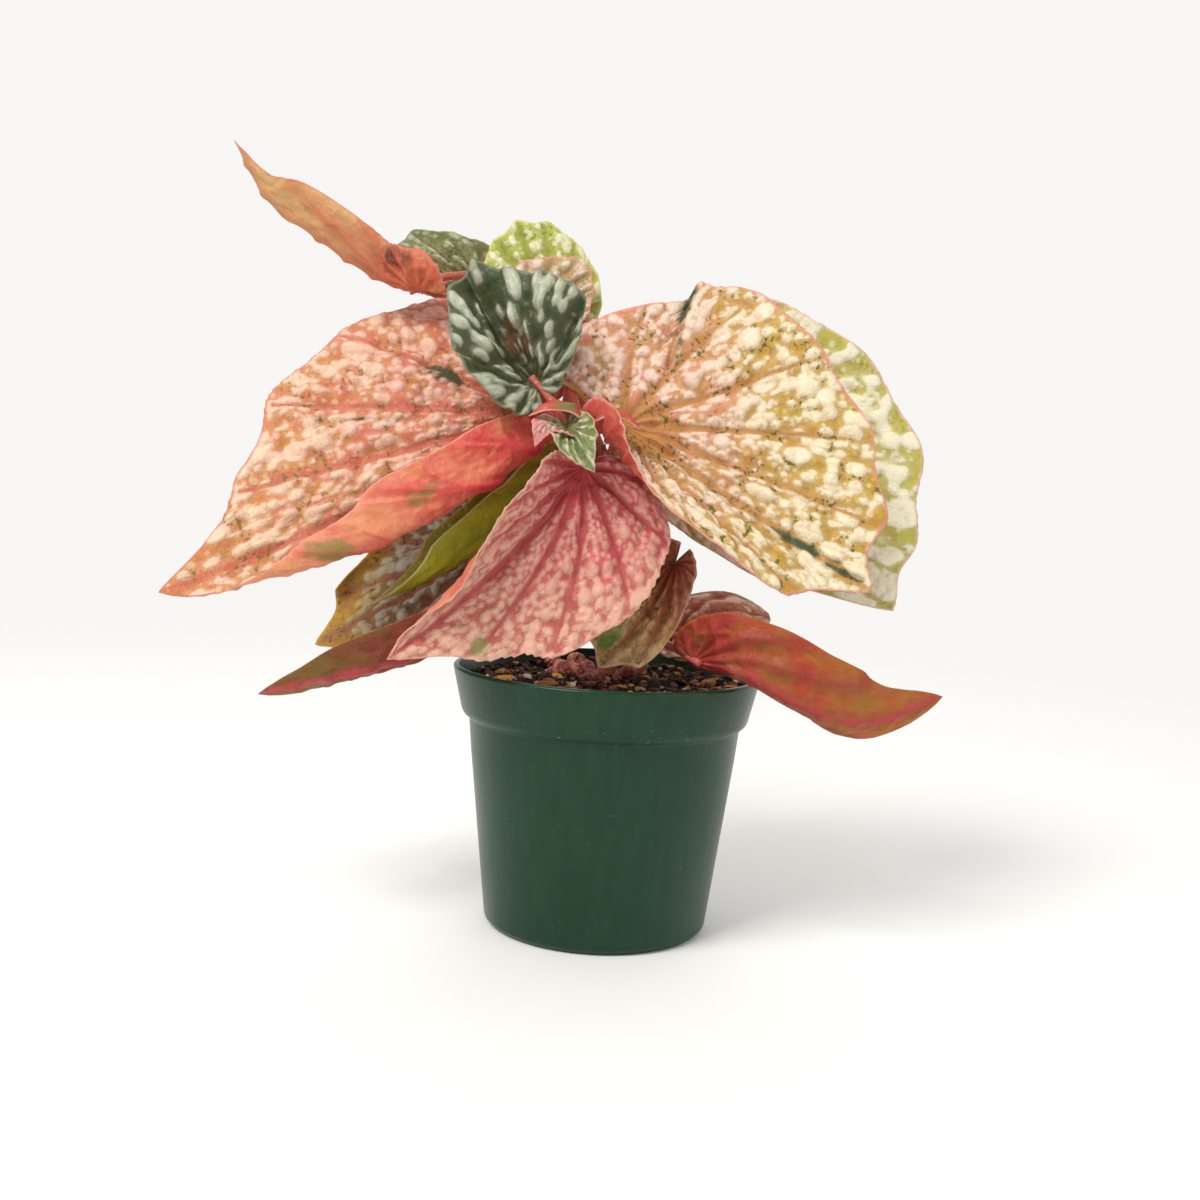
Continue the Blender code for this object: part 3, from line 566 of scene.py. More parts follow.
def patch_distance(flat, patches):
    """Distance to the edge of oval patches: place, half length, half width and turn in degrees."""
    nearest = np.full(len(flat), 5.0)
    for px, py, long, wide, turn in patches:
        c, s = math.cos(math.radians(turn)), math.sin(math.radians(turn))
        u, v = (flat - [px, py]) @ [c, s], (flat - [px, py]) @ [-s, c]
        nearest = np.minimum(nearest, (np.sqrt((u / long) ** 2 + (v / wide) ** 2) - 1) * min(long, wide))
    return nearest


def press(flat, folds):
    """How deep the blade is pressed in along creases, and the distance to them."""
    pressed, pleat = np.zeros(len(flat)), np.full(len(flat), 9.0)
    for start, end, deep, far_side, near_side in folds:
        way, off = unit(np.array(end, float) - start), flat - start
        beside = off @ [-way[1], way[0]]
        side_fall = np.exp(-np.abs(beside) / np.where(beside > 0, far_side, near_side))
        pressed += deep * np.clip(off @ way / 8, 0, 1) ** 2 * side_fall
        pleat = np.minimum(pleat, np.abs(beside) + np.clip(4 - off @ way, 0, None))
    return pressed, pleat


def valleys(draw, flat, at, cushion):
    """Distance from points to the valleys between cushions of a width."""
    middles = np.zeros((0, 2))
    for where, out in zip(draw.uniform(-5.9, 5.9, 1200), draw.uniform(0.05, 1, 1200) ** 0.6):
        middle = at(np.array([where]), np.array([out]))
        if not len(middles) or np.linalg.norm(middles - middle, axis=1).min() > cushion:
            middles = np.vstack([middles, middle])
    gaps = np.linalg.norm(flat[:, None].astype(np.float32) - middles[None].astype(np.float32), axis=2)
    nearest = np.partition(gaps, 1, axis=1)
    return nearest[:, 1] - nearest[:, 0]


def blade(rib, face, left, right, grid, seed, crease=CREASE, teeth=0.5, spots=None, off_vein=0.35,
          patches=(), folds=(), peak=None, cushion=5.5, puff=0.8):
    """The blade as a grid of columns from the left basal lobe over the tip to the right one, each with rows
    from the stalk out to the margin: its middle surface, its upward normals, and what its markings need."""
    draw = np.random.default_rng(seed)
    columns, rows = grid
    length = rib_frame(rib, face, np.zeros(1))[3]
    x, reach, angle, side = margin(length, left, right, columns, teeth, peak, seed)
    out = np.linspace(0, 1, rows + 1) ** 0.9
    ahead, across = np.outer(reach * np.cos(angle), out), np.outer(reach * np.sin(angle), out)
    place, head, normal, _ = rib_frame(rib, face, ahead.ravel())
    share = ahead / length
    steps = (np.arange(32) + 0.5) / 32
    level, raised, facing = np.zeros_like(share), np.zeros_like(share), np.zeros_like(share)
    for c in range(len(x)):
        own = left if side[c] > 0 else right
        rise, roll, fold = (along_thirds(own[key], share[c])[:, None] for key in ("rise", "roll", "fold"))
        distance = np.outer(across[c], steps)
        turn = np.clip((distance - fold + own["bend"]) / (2 * own["bend"]), 0, 1)
        slope = np.radians(rise) * (1 - np.exp(-distance / crease)) + np.radians(roll) * eased(turn)
        level[c] = np.cos(slope).mean(1) * across[c] * side[c]
        raised[c] = np.sin(slope).mean(1) * across[c]
        facing[c] = np.clip(2 * np.cos(slope[:, -1]), 0.2, 1)
    points = place + level.ravel()[:, None] * np.cross(normal, head) + raised.ravel()[:, None] * normal
    points = points.reshape(share.shape + (3,))
    upward = unit(np.cross(np.gradient(points, axis=0), np.gradient(points, axis=1)))
    upward[:, 0] = unit(upward[:, 1].mean(0))
    depth = PUCKER * np.clip(reach / PUCKER_REACH, 0, 1) * np.sin(math.pi * (np.abs(x) % 1)) ** 2
    points = points + upward * (np.outer(depth, np.sin(math.pi * out**0.8)) * facing)[..., None]

    def at(where, share_out):
        """A place on the flat blade, from a position counted in veins and a share of the way out."""
        r, a = np.interp(where, x, reach) * share_out, np.interp(where, x, angle)
        return np.stack([r * np.cos(a), r * np.sin(a) * np.where(where <= 0, 1.0, -1.0)], -1)

    flat = np.stack([ahead, across * side[:, None]], -1).reshape(-1, 2)
    rim = np.outer(reach, 1 - out).ravel()
    pressed, pleat = press(flat, folds)
    valley = valleys(draw, flat, at, cushion)
    height = puff * (1 - np.exp(-((valley / (0.45 * cushion)) ** 1.5))) * np.clip(rim / 5, 0, 1) - pressed
    points = points + upward * (height.reshape(share.shape) * facing)[..., None]
    main, small = vein_distances(flat, at, length)
    lobed = 1 - 0.5 * np.clip((np.abs(x) - 3.4) / 1.4, 0, 1)  # the basal lobes are coloured as the base
    zone = np.linalg.norm(flat, axis=1) / length * np.repeat(lobed, rows + 1)
    spot = spot_distance(draw, flat, at, *spots) if spots else np.full(len(flat), 5.0)
    spot = np.maximum(np.maximum(spot, off_vein - main), 0.9 - pleat)
    marks = {"valley": valley, "spot": spot, "vein": np.minimum(main, small), "main": main, "rim": rim}
    return points, upward, flat, {**marks, "zone": zone, "patch": patch_distance(flat, patches)}


def leaf_stalk(rib, face, cane, height, bends, radius):
    """The stalk's line from inside the cane's skin to under the blade's base, and its radii."""
    line, radii = cane_shape(*CANES[cane])
    k = int(np.argmin(np.abs(line[:, 2] - height)))
    axis = unit(line[k + 1] - line[k - 1])
    way = unit(np.array(bends[0], float) - line[k])
    start = line[k] + unit(way - axis * (way @ axis)) * (radii[k] - STALK_DEPTH)
    place, _, normal, _ = rib_frame(rib, face, np.array([STALK_LAP]))
    stops = [start, *(np.array(p, float) for p in bends), place[0] - 0.55 * radius * normal[0]]
    share = np.linspace(0, 1, 12 * (len(stops) - 1) + 1)
    radii = radius * (1 - (1 - STALK_TAPER) * share) * (1 + STALK_FLARE * np.exp(-share / 0.05))
    return through(stops, share * (len(stops) - 1)), radii


def stalk_skin(name, low, high):
    stalk = Finish(name, 0.45, on_leaf=True)
    stalk.ground(stalk.grain(12), low, high)
    stalk.tint(stalk.grain(0.6, where=stalk.place()).fade(0.62, 0.7), "e6b79c")
    return stalk.close(stalk.grain(0.5, 3, where=stalk.place()) * 0.12)


red_stalk = stalk_skin("red_stalk", "a8493c", "c9705a")


def grow_leaf(name, slot, rib, face, height, stalk, grid, seed, left, upper, under, right=None,
              stem=red_stalk, cane="cane_front", stalk_radius=STALK_RADIUS, blister=0.45, groove=0.6,
              ridge=0.3, node=None, **shape):
    """Grow a leaf in place of its plain solid. Its halves are alike unless a right one is given."""
    points, upward, flat, marks = blade(rib, face, left, right or left, grid, seed, **shape)
    near_vein = np.clip(marks["vein"], 0, None)
    swell = blister * np.clip((0.3 - marks["spot"]) / 1.1, 0, 1) ** 0.8
    sunk = groove * np.exp(-near_vein / 1.3) * np.clip(marks["rim"] / 4, 0.1, 1)
    raised = ridge * np.exp(-(near_vein / 0.45) ** 2) * np.clip(1.15 - marks["zone"], 0.15, 1)
    thick = BLADE * (0.45 + 0.55 * np.clip(marks["rim"] / 2.5, 0, 1))
    per_point = points.shape[:2] + (1,)
    above = points + upward * (thick / 2 + swell - sunk).reshape(per_point)
    below = points - upward * (thick / 2 + raised + sunk - 0.8 * swell).reshape(per_point)
    count, edge = len(points), points.shape[1] - 1
    copies = np.arange(1, count) * (edge + 1)  # of the one point at the stalk
    keep = np.delete(np.arange(count * (edge + 1)), copies)
    top, low = above.reshape(-1, 3)[keep], below.reshape(-1, 3)[keep]
    top[0], low[0] = above[:, 0].mean(0), below[:, 0].mean(0)
    n, sheet = len(top), []
    for near in range(1, (count - 1) * edge, edge):
        far = near + edge
        sheet.append((0, near, far))
        sheet += [(near + r, near + r + 1, far + r + 1, far + r) for r in range(edge - 1)]
    ring = [0, *range(1, edge + 1), *range(2 * edge, (count + 1) * edge, edge)]
    ring += range(count * edge - 1, (count - 1) * edge, -1)
    tube, tube_faces, gone = round_tube(*leaf_stalk(rib, face, cane, height, stalk, stalk_radius), 20)
    faces = [f[::-1] for f in sheet] + [tuple(i + n for i in f) for f in sheet]
    faces += [(a, b, b + n, a + n) for a, b in zip(ring, ring[1:] + ring[:1])]
    faces += [tuple(i + 2 * n for i in f) for f in tube_faces]
    mesh = new_mesh(name, np.vstack([top, low, tube]) * MM, faces)
    kinds = [0] * len(sheet) + [1] * len(sheet) + [0] * len(ring) + [2] * len(tube_faces)
    mesh.polygons.foreach_set("material_index", kinds)
    lay = np.zeros((2 * n + len(tube), 3))
    lay[: 2 * n, :2] = np.vstack([flat[keep], flat[keep]]) * MM
    lay[2 * n :, 0] = gone * MM
    mesh.attributes.new("lay", "FLOAT_VECTOR", "POINT").data.foreach_set("vector", lay.ravel())
    for key, value in marks.items():
        whole = np.concatenate([value[keep], value[keep], np.zeros(len(tube))]).astype(np.float32)
        mesh.attributes.new(key, "FLOAT", "POINT").data.foreach_set("value", whole)
    show(name + "_grown", mesh, slot, node or name, upper, under, stem)


def upper_skin(name, codes, patchy_share=0.5, spot_share=0.95, net_share=0.5, net_size=2.4, fleck_share=0.7,
               margin_width=1.2, roughness=0.42, vein_width=0.7, turn_at=0.5, dab_size=2.2, dab_room=0.2,
               valley_share=0.5, haze_share=0.12):
    """The upper side: a ground that changes from the stalk outward, clouded and in its hollows of a second
    colour, a wide band of vein colour along the main veins that is partly painted shade in their grooves,
    pale soft-edged blisters, veins, fine stipple, dark flecks, and a coloured margin. The codes are the
    ground near and far, its clouds, the blisters near and far, veins, margin, flecks and patches."""
    near, far, patchy, spot_near, spot_far, vein, border, fleck, dark = codes.split()
    skin = Finish(name, roughness, 0.25, on_leaf=True)
    main, fine = skin.mark("main"), skin.grain(0.7, 3)
    sway, jitter = skin.grain(3.0, 3) - 0.5, fine - 0.5
    zone = skin.mark("zone") + (skin.grain(13) - 0.5) * 0.7
    outward = zone.fade(turn_at - 0.28, turn_at + 0.28)
    skin.ground(outward, near, far)
    skin.tint(skin.grain(6, 4).fade(0.42, 0.62) * patchy_share, patchy)
    skin.tint((skin.mark("valley") + sway * 3.0).fade(1.6, 0.2) * valley_share, patchy)
    # A wide band of vein colour along the main veins: partly the veins' own colour, partly painted shade in
    # the grooves they lie in.
    skin.tint((main + sway * 1.6).fade(2.6, 0.0) * 0.5, vein)

    dab = skin.cells(dab_size, 0.85)
    own = put(skin.tree, "SeparateColor", {"Color": dab.twin("Color")})
    dabbed = (dab - (own * 0.25 + dab_room) + jitter * 0.2).fade(0.13, -0.13) * main.fade(0.1, 0.9)
    spot = skin.mark("spot") + (sway * 0.6 + jitter * 0.3)
    pale = spot.fade(0.28, -0.28).larger(dabbed * 0.72) * spot_share
    net = (skin.cells(net_size, feature="DISTANCE_TO_EDGE") + jitter * 0.12).fade(0.12, 0.0) * net_share
    skin.tint(net, vein)
    spotted = skin.mix(outward, colour(spot_near), colour(spot_far))
    skin.tint(spot.fade(1.5, -0.1) * haze_share, spotted)
    dimmed = skin.mix(0.3, spotted, skin.colour)
    skin.tint(pale, skin.mix((spot + jitter).fade(-1.0, 0.6), spotted, dimmed))
    skin.tint(net * 0.2, vein)

    skin.tint((main + sway * 0.8).fade(vein_width, -0.3) * 0.6, vein)
    skin.tint(skin.mark("vein").fade(0.4, -0.2) * 0.3, vein)
    skin.tint(skin.grain(0.45, 1).fade(0.54, 0.64) * (0.4 - pale * 0.32), vein)
    strewn = (skin.grain(9) + main.fade(2.5, 0.2) * 0.07).fade(0.5, 0.6)
    dots = skin.grain(1.3, 3).fade(0.55, 0.6) * strewn * (1.0 - pale * 0.7)
    skin.tint(dots * fleck_share, fleck)
    patch = skin.mark("patch") + (sway * 2.6 + jitter)
    skin.tint(patch.fade(0.5, -0.5) * (0.95 - pale * 0.6), dark)
    skin.tint((skin.mark("rim") + sway * 1.2).fade(margin_width, 0.0) * 0.85, border)
    skin.tint(skin.grain(0.28).fade(0.35, 0.8) * 0.4, "d8ccc0", "MULTIPLY")
    height = spot.fade(0.5, -0.9) * 0.3 + dabbed * 0.14 + skin.grain(1.5, 3, 0.6) * 0.3 + fine * 0.1
    return skin.close(height, fine * 0.2 - pale * 0.06 + (roughness - 0.08))


def under_skin(name, codes, patchy_share=0.5, vein_share=0.7, turn_at=0.5):
    """The underside: a softer ground, clouded, warmer toward the raised veins, with a faint net. The codes
    are the ground near and far, its clouds, veins, margin and patches."""
    near, far, patchy, vein, border, dark = codes.split()
    skin = Finish(name, 0.45, 0.25, on_leaf=True)
    main, fine, sway = skin.mark("main"), skin.grain(0.6, 3), skin.grain(3.4, 3) - 0.5
    zone = skin.mark("zone") + (skin.grain(12) - 0.5) * 0.8
    skin.ground(zone.fade(turn_at - 0.3, turn_at + 0.3), near, far)
    skin.tint(skin.grain(7, 4, 0.8).fade(0.42, 0.68) * patchy_share, patchy)
    skin.tint((main + sway * 4.0).fade(3.6, 0.0) * 0.45, vein)
    skin.tint(skin.cells(2.6, feature="DISTANCE_TO_EDGE").fade(0.2, 0.0) * 0.08, vein)
    skin.tint((skin.mark("patch") + sway * 4.0).fade(0.9, -1.0) * 0.8, dark)
    skin.tint(skin.mark("vein").fade(0.45, -0.25) * vein_share * zone.fade(1.2, 0.2), vein)
    skin.tint(skin.grain(0.4).fade(0.5, 0.75) * 0.18, patchy)
    skin.tint(skin.mark("rim").fade(1.0, 0.0) * 0.8, border)
    return skin.close(skin.grain(2.2, 3, 0.6) * 0.45 + fine * 0.1, fine * 0.2 + 0.35)


grow_leaf(
    "leaf_left", "leaf_pink", height=107, stalk=[(-11, 1, 121)], face=(-0.1, -0.9, 0.35), seed=3,
    rib=[(-19, -6, 125), (-38, -11, 113), (-64, -16, 98), (-92, -20, 84), (-105, -22, 79)], grid=(28, 96),
    left=half((66, 50, 31, 19, 11, 6), roll=(165, 172, 160), fold=(7, 13, 6), bend=5),
    right=half((76, 68, 56, 43, 22, 9), rise=(0, 5, 8), roll=(-20, -15, 0), fold=25, bend=20, tip=1.4),
    spots=(600, 0.8, 2.8, 1.3, 0.8, 0.17, 0.06), cushion=7.5, puff=1.5,
    patches=[(30, -58, 5, 2, 120), (15, -21, 6, 2.5, 120), (40, -21, 10, 0.6, -28), (34, 20, 4.5, 2, 10),
             (58, 14, 6, 2.6, 5)],
    upper=upper_skin("peach_blistered", "d6705f d8925a bb9030 f4c4b0 f8d8ba cc6c58 e0857a 59652f 3f5236",
                     dab_size=2.4, dab_room=0.22, valley_share=0.75, haze_share=0.2),
    under=under_skin("salmon_under", "d45a4c e8a27c dc9260 cc3440 ee9884 7d7c3c", patchy_share=0.6))

# The right leaf is as large, cream on olive and terracotta, with a basal lobe rolled forward and one deep
# fold toward the top.
grow_leaf(
    "leaf_right", "leaf_cream", height=112, stalk=[(-1, -9, 119)], grid=(26, 96), seed=5, puff=1.1,
    rib=[(1, -12, 123.5), (19, -16, 112), (41, -19, 99), (60, -22, 88)], face=(0.05, -0.93, 0.3),
    left=half((66, 59, 51, 46, 31, 27), roll=(-10, 15, 20), fold=25, bend=20, tip=3, lobe=182),
    right=half((56, 36, 24, 19, 15, 6), rise=(20, 40, 20), roll=(140, 20, 0), fold=(6, 12, 10), bend=6),
    spots=(560, 0.7, 3.1, 1.3, 0.76, 0.14, 0.06), folds=[((2, 12), (-9.5, 41), 3.2, 6, 0.35)],
    peak=(-4.45, 0.11, 0.16),
    patches=[(-7.5, 36, 8, 1.5, 112), (-1, 23, 8, 0.3, 116), (50, 0, 8, 1.1, 8), (62, 0, 5, 0.8, 15)],
    upper=upper_skin("cream_blistered", "de8c76 cba640 b4982a fadcca fdf0cf bc8448 ee9c90 505c2c 3c5138",
                     fleck_share=0.9, dab_size=2.4, dab_room=0.18, vein_width=0.3, haze_share=0.2,
                     turn_at=0.4),
    under=under_skin("coral_under", "cf5f52 dc8c72 d08a5e b84640 e8978a 87824a"))

# Behind it hangs a paler leaf on the rear cane, cream on lime.
grow_leaf(
    "leaf_right_rear", "leaf_cream", cane="cane_rear", height=100, stalk=[(7, 17, 114)],
    rib=[(8, 12, 121), (37, 13, 102), (72, 10, 81)], face=(0.1, -0.93, 0.3), grid=(20, 80), seed=8,
    left=half((74, 72, 62, 48, 25, 13), roll=(15, 15, 10), fold=25, bend=20),
    right=half((47, 26, 19, 14, 12, 9)), spots=(460, 0.9, 3.2, 1.35, 0.62, 0.25, 0.07),
    upper=upper_skin("lime_blistered", "cfc06a c2bc54 a8a838 fbf2d2 fcf8de c9bd72 f2c4ae 7d8a3a 4c5f3c",
                     fleck_share=0.5),
    under=under_skin("pale_under", "d9a07c dcc08a c9b96a c98a62 efb7a0 8f8a50"))

# The centre leaf hangs in front of the pot's rim, deep rose with dense small blisters and a toothed margin.
# Its right half is narrow and curls up along the midrib.
grow_leaf(
    "leaf_centre", "leaf_pink", height=92, stalk=[(-4, -10, 108)], grid=(18, 90), seed=12, teeth=1.1,
    rib=[(-8, -19, 113), (-19, -28, 97), (-35, -35, 80), (-48, -41, 69)], face=(0.26, -0.93, 0.22),
    left=half((50, 43, 35, 26, 15, 5), roll=(15, 15, 20), fold=15, bend=12),
    right=half((44, 26, 15, 7, 4, 3), rise=(45, 58, 62), roll=(0, 10, 100), fold=(6, 6, 4), bend=4),
    spots=(460, 0.8, 2.1, 1.2, 0.86, 0.12, 0.04), patches=[(48, 12, 4.5, 2, 40)], groove=0.35, puff=1.0,
    upper=upper_skin("rose_blistered", "da5068 c97a68 b45c4c e2a092 e9baa2 b0464a e8b098 6f6a3a 7f8a4c",
                     fleck_share=0.2, net_size=1.8, patchy_share=0.35, dab_size=2.0, dab_room=0.26,
                     vein_width=0.1, turn_at=0.35),
    under=under_skin("rose_under", "c95a50 dc7c64 d08a5e b84640 e89c86 87824a"))

# A small lime leaf between the left and the centre leaf is folded shut along its midrib, so that its
# underside shows. Its stalk is green.
grow_leaf(
    "leaf_lime", "leaf_lime", height=99, stalk=[(-11, -2, 113)], grid=(9, 56), seed=21, teeth=0.3,
    rib=[(-17, 0, 114), (-24, -3, 100), (-38, -8, 88), (-57, -12, 78)], face=(-0.6, -0.25, 0.75),
    left=half((40, 22, 12, 9, 7, 5), rise=(70, 75, 70), roll=(10, 15, 0), fold=6, bend=4),
    upper=upper_skin("lime_upper", "a3a33a aeb04a 8f9a30 d8d48a e6e0a8 8a8a2c c9b98a 6a7a2c 5f6f2c",
                     spot_share=0.6, fleck_share=0.2),
    under=under_skin("lime_under", "a0a626 b4b42e bcaa30 8c9226 d9cfa0 6f7a20", patchy_share=0.4),
    stem=stalk_skin("green_stalk", "a0963c", "b8a04c"))

# A dark leaf with large silver blisters stands up between the two big ones. It is crumpled along three
# creases.
brown_under = under_skin("brown_under", "a4583e 9c6444 7d6a3c 7d3430 b06a5a 5a5a30")
grow_leaf(
    "leaf_dark", "leaf_dark", height=116, stalk=[(-8, -11, 120), (-14, -15, 126)], grid=(12, 64), seed=33,
    rib=[(-20, -14, 131.5), (-29, -12, 146), (-37, -9, 161)], face=(0, -0.96, 0.28),
    left=half((31, 23, 17, 12, 9, 6), rise=(30, 30, 10)),
    right=half((29, 27, 24, 10, 6, 5), rise=(30, 35, 10), roll=(-10, -10, 0), fold=10),
    spots=(64, 1.3, 2.7, 2.2, 0.8, 0.3, 0.03), off_vein=-0.6, patches=[(12, -2, 5, 3, 0)],
    folds=[((-3, 0.5), (26, 2), 4.5, 2.2, 2.2), ((0, -4), (14, -24), 3.0, 1.8, 1.8),
           ((0, 3), (20, 16), 2.6, 1.8, 1.8)],
    blister=1.2, puff=1.0, groove=0.2,
    upper=upper_skin("dark_silver", "2a3e20 2c4a26 5c4a2c b4baa0 c6cab2 4a4a30 8a8f74 263620 6a4c34",
                     patchy_share=0.35, fleck_share=0.3, net_share=0.0, roughness=0.34, vein_width=-0.2,
                     dab_size=3.4, dab_room=-0.1),
    under=brown_under)

# The upper left leaf reaches out on a long stalk. It is folded, its tan and orange underside outward.
grow_leaf(
    "leaf_upper_left", "leaf_pink", height=117, stalk=[(-14, 7, 137), (-30, 8, 157), (-43, 2, 158)],
    rib=[(-50, -2, 153.5), (-61, 1, 156), (-74, -1, 163.5), (-88, -3, 173.5), (-95, -5, 186)],
    left=half((41, 21, 13, 11, 9, 8), rise=(60, 65, 60), roll=(70, 30, 0), fold=9, bend=5, tip=1),
    face=(0.45, 0.15, 0.85), grid=(11, 64), seed=41, spots=(150, 0.8, 2.2, 1.4, 0.9, 0.2),
    # The two dark red-brown patches near the base of its blade are painted shade: the shadow in the hollow
    # of the fold.
    patches=[(7, 8, 5, 2.5, 0), (7, -8, 5, 2.5, 0)], groove=0.25, ridge=0.1,
    upper=upper_skin("tan_blistered", "b5654a c08a58 a0803c e6b8a0 f0d4b4 a85a40 dc7f6c 56602c 3c5138"),
    under=under_skin("tan_under", "be4c3e e4b27e c8a862 cc6a4c e06c60 5c2620", turn_at=0.3))

# Three small leaves of the rear cane show behind the top: lime, cream and dark green.
grow_leaf(
    "leaf_top_lime", "leaf_lime", cane="cane_rear", height=138, stalk=[(-13, 18, 145)], seed=51,
    rib=[(-18, 16, 150), (-24, 22, 163), (-30, 28, 177)], face=(0, -0.9, 0.4), grid=(9, 48),
    left=half((29, 24, 17, 11, 6, 4), roll=10),
    right=half((30, 24, 18, 13, 10, 8), roll=-10), spots=(90, 0.8, 2.2, 1.4, 0.8, 0.25),
    upper=upper_skin("lime_cream", "a9b040 c0c258 b0b84a e9e6b8 f3efc8 8f9a34 dcd890 6f7d30 4c5f3c"),
    under=under_skin("lime_under_top", "b0a850 c0b860 b0a040 8f9030 dcc9a0 6f7a20"))
grow_leaf(
    "leaf_top_cream", "leaf_cream", cane="cane_rear", height=128, stalk=[(-17, 12, 136)], seed=52,
    rib=[(-24, 11, 150), (-16, 13, 157), (-9, 15, 163)], face=(0, -0.95, 0.2), grid=(9, 44),
    left=half((20, 17, 15, 12, 9, 6)), right=half((18, 15, 12, 9, 8, 6)),
    spots=(60, 0.9, 2.3, 1.5, 0.78, 0.25),
    upper=upper_skin("cream_tan", "c99a74 c9b07c b0a05c f2d6c0 f6e6cc a8885a e8a090 6f7040 56603c"),
    under=under_skin("pink_under_top", "d98a74 e0a88a c9a070 c06a54 e8a090 8f8a50"))
grow_leaf(
    "leaf_top_rear", "leaf_dark", cane="cane_rear", height=134, stalk=[(-22, 25, 150)], seed=53,
    rib=[(-38, 24, 158), (-49, 26, 164), (-61, 28, 169)], face=(0, -0.8, 0.6), grid=(9, 44),
    left=half((24, 16, 12, 10, 8, 6)), right=half((26, 20, 16, 13, 10, 7)),
    spots=(50, 0.8, 2.0, 1.5, 0.95, 0.25),
    upper=upper_skin("dark_green", "4f5f34 62733f 7a8a44 a9b08c c0c4a0 7a6a40 8a9068 3a4a2a 33452c"),
    under=brown_under)

# Low on the left hang two older leaves, one olive with silver-grey blisters, one brown-red and narrow.
grow_leaf(
    "leaf_lower_left_rear", "leaf_olive", height=80, stalk=[(-8, 8, 94)], grid=(12, 64), seed=61,
    rib=[(-28, 6, 94), (-51, 10, 79), (-76, 14, 64)], face=(-0.3, -0.75, 0.6), cane="cane_rear",
    left=half((46, 30, 22, 18, 12, 9)),
    right=half((48, 36, 29, 22, 16, 10), roll=(120, 20, 140), fold=(12, 16, 8), bend=5),
    spots=(260, 0.8, 2.3, 1.3, 0.84, 0.2, 0.1, 0.8), off_vein=0.3, blister=0.5,
    upper=upper_skin("silver_green", "3c5634 d0a62c 84703c c6cec0 ccc690 a06850 c4a03c 2f3a2a 33402c",
                     vein_width=0.8, patchy_share=0.2, turn_at=0.7, dab_size=3.0, dab_room=-0.1,
                     valley_share=0.2),
    under=under_skin("mustard_under", "a8822c c09a34 9c9434 8a682c c4a854 6f7a20", patchy_share=0.4))
grow_leaf(
    "leaf_lower_left", "leaf_brown", height=74, stalk=[(-15, -1, 77)], grid=(10, 56), seed=62,
    rib=[(-30, -6, 72), (-50, -15, 64.5), (-67, -20, 60), (-81, -22, 56.5)], face=(-0.1, 0.75, 0.65),
    left=half((38, 22, 17, 15, 13, 9), roll=(30, 30, 0), fold=8, tip=1),
    right=half((36, 20, 14, 12, 10, 8), rise=(60, 60, 40), tip=1), patches=[(30, 0, 32, 1.3, 0)],
    spots=(80, 0.8, 2.0, 1.4, 0.9, 0.2), groove=0.35, ridge=0.2,
    upper=upper_skin("olive_upper", "6a5a34 7a6a3c 8f5a4c b0a888 c0b898 9a5a48 c06a60 3a4a2a 33402c"),
    under=under_skin("dusky_under", "a4483a 8c6426 746424 8c2c30 8a5a34 d84a5c", patchy_share=0.7,
                     vein_share=0.5))

# A half dried leaf hangs above the soil, brown-red with a tan margin and one green patch.
grow_leaf(
    "leaf_hanging", "leaf_brown", height=80, stalk=[(12, -2, 93)], grid=(10, 48), seed=71, teeth=0.4,
    rib=[(15, -12, 92), (7, -20, 78), (-2, -24, 67)], face=(0.1, -0.96, 0.25),
    left=half((27, 14, 8, 6, 5, 5)),
    right=half((30, 20, 12, 8, 6, 5), rise=(30, 30, 10), roll=(40, 0, 0), fold=6),
    spots=(60, 0.8, 2.0, 1.4, 0.9, 0.2), patches=[(26, -3, 3.2, 2, 0)], groove=0.15, ridge=0.1,
    upper=upper_skin("dry_upper", "b4603c c0a45c 8f6a38 cc9070 d8c490 84402c e4b090 3f4a28 5f7a34",
                     spot_share=0.5, fleck_share=0.9, vein_width=0.1),
    under=brown_under)

# Low on the right, one leaf lies over the rim with its brick red underside out, and a small dusky pink one
# of the rear cane shows behind it.
grow_leaf(
    "leaf_lower_right", "leaf_brown", height=68, stalk=[(7, -3, 71), (14, -12, 72)], grid=(12, 64), seed=81,
    rib=[(20, -20, 69.5), (32, -28.5, 67.5), (46, -30, 61), (60, -27, 58), (78, -22, 64.5)],
    left=half((44, 15, 9, 7, 6, 6), rise=(85, 85, 35), tip=1), face=(0, 0.97, 0.2), crease=1.5,
    right=half((46, 25, 16, 11, 8, 6), roll=(30, 30, 0), tip=1), patches=[(48, 0, 26, 0.6, 0)],
    spots=(110, 0.8, 2.2, 1.4, 0.9, 0.2), groove=0.3, ridge=0.12,
    upper=upper_skin("olive_upper_right", "6a5a34 7a6a3c 8f5a4c b0a888 c0b898 9a5a48 d0506a 3a4a2a 33402c"),
    under=under_skin("brick_under", "b0402a b0602a 9c782a 8c2830 a8622e c83c50", patchy_share=0.6,
                     vein_share=0.4))
grow_leaf(
    "leaf_lower_right_rear", "leaf_pink", height=68, stalk=[(14, 13.5, 71)], grid=(9, 44), seed=82,
    rib=[(16.5, 14.5, 71), (30, 18, 75.5), (43.5, 18, 72)], face=(0, -0.5, 0.85), cane="cane_rear",
    left=half((27, 20, 14, 12, 9, 6), rise=10), spots=(80, 0.8, 1.8, 1.4, 0.88, 0.2),
    upper=upper_skin("dusky_upper", "d08a7a d89c88 9a8a50 f6d0c2 f8dccc a8584c 7f8a54 4f5a38 4c5f3c"),
    under=brown_under)

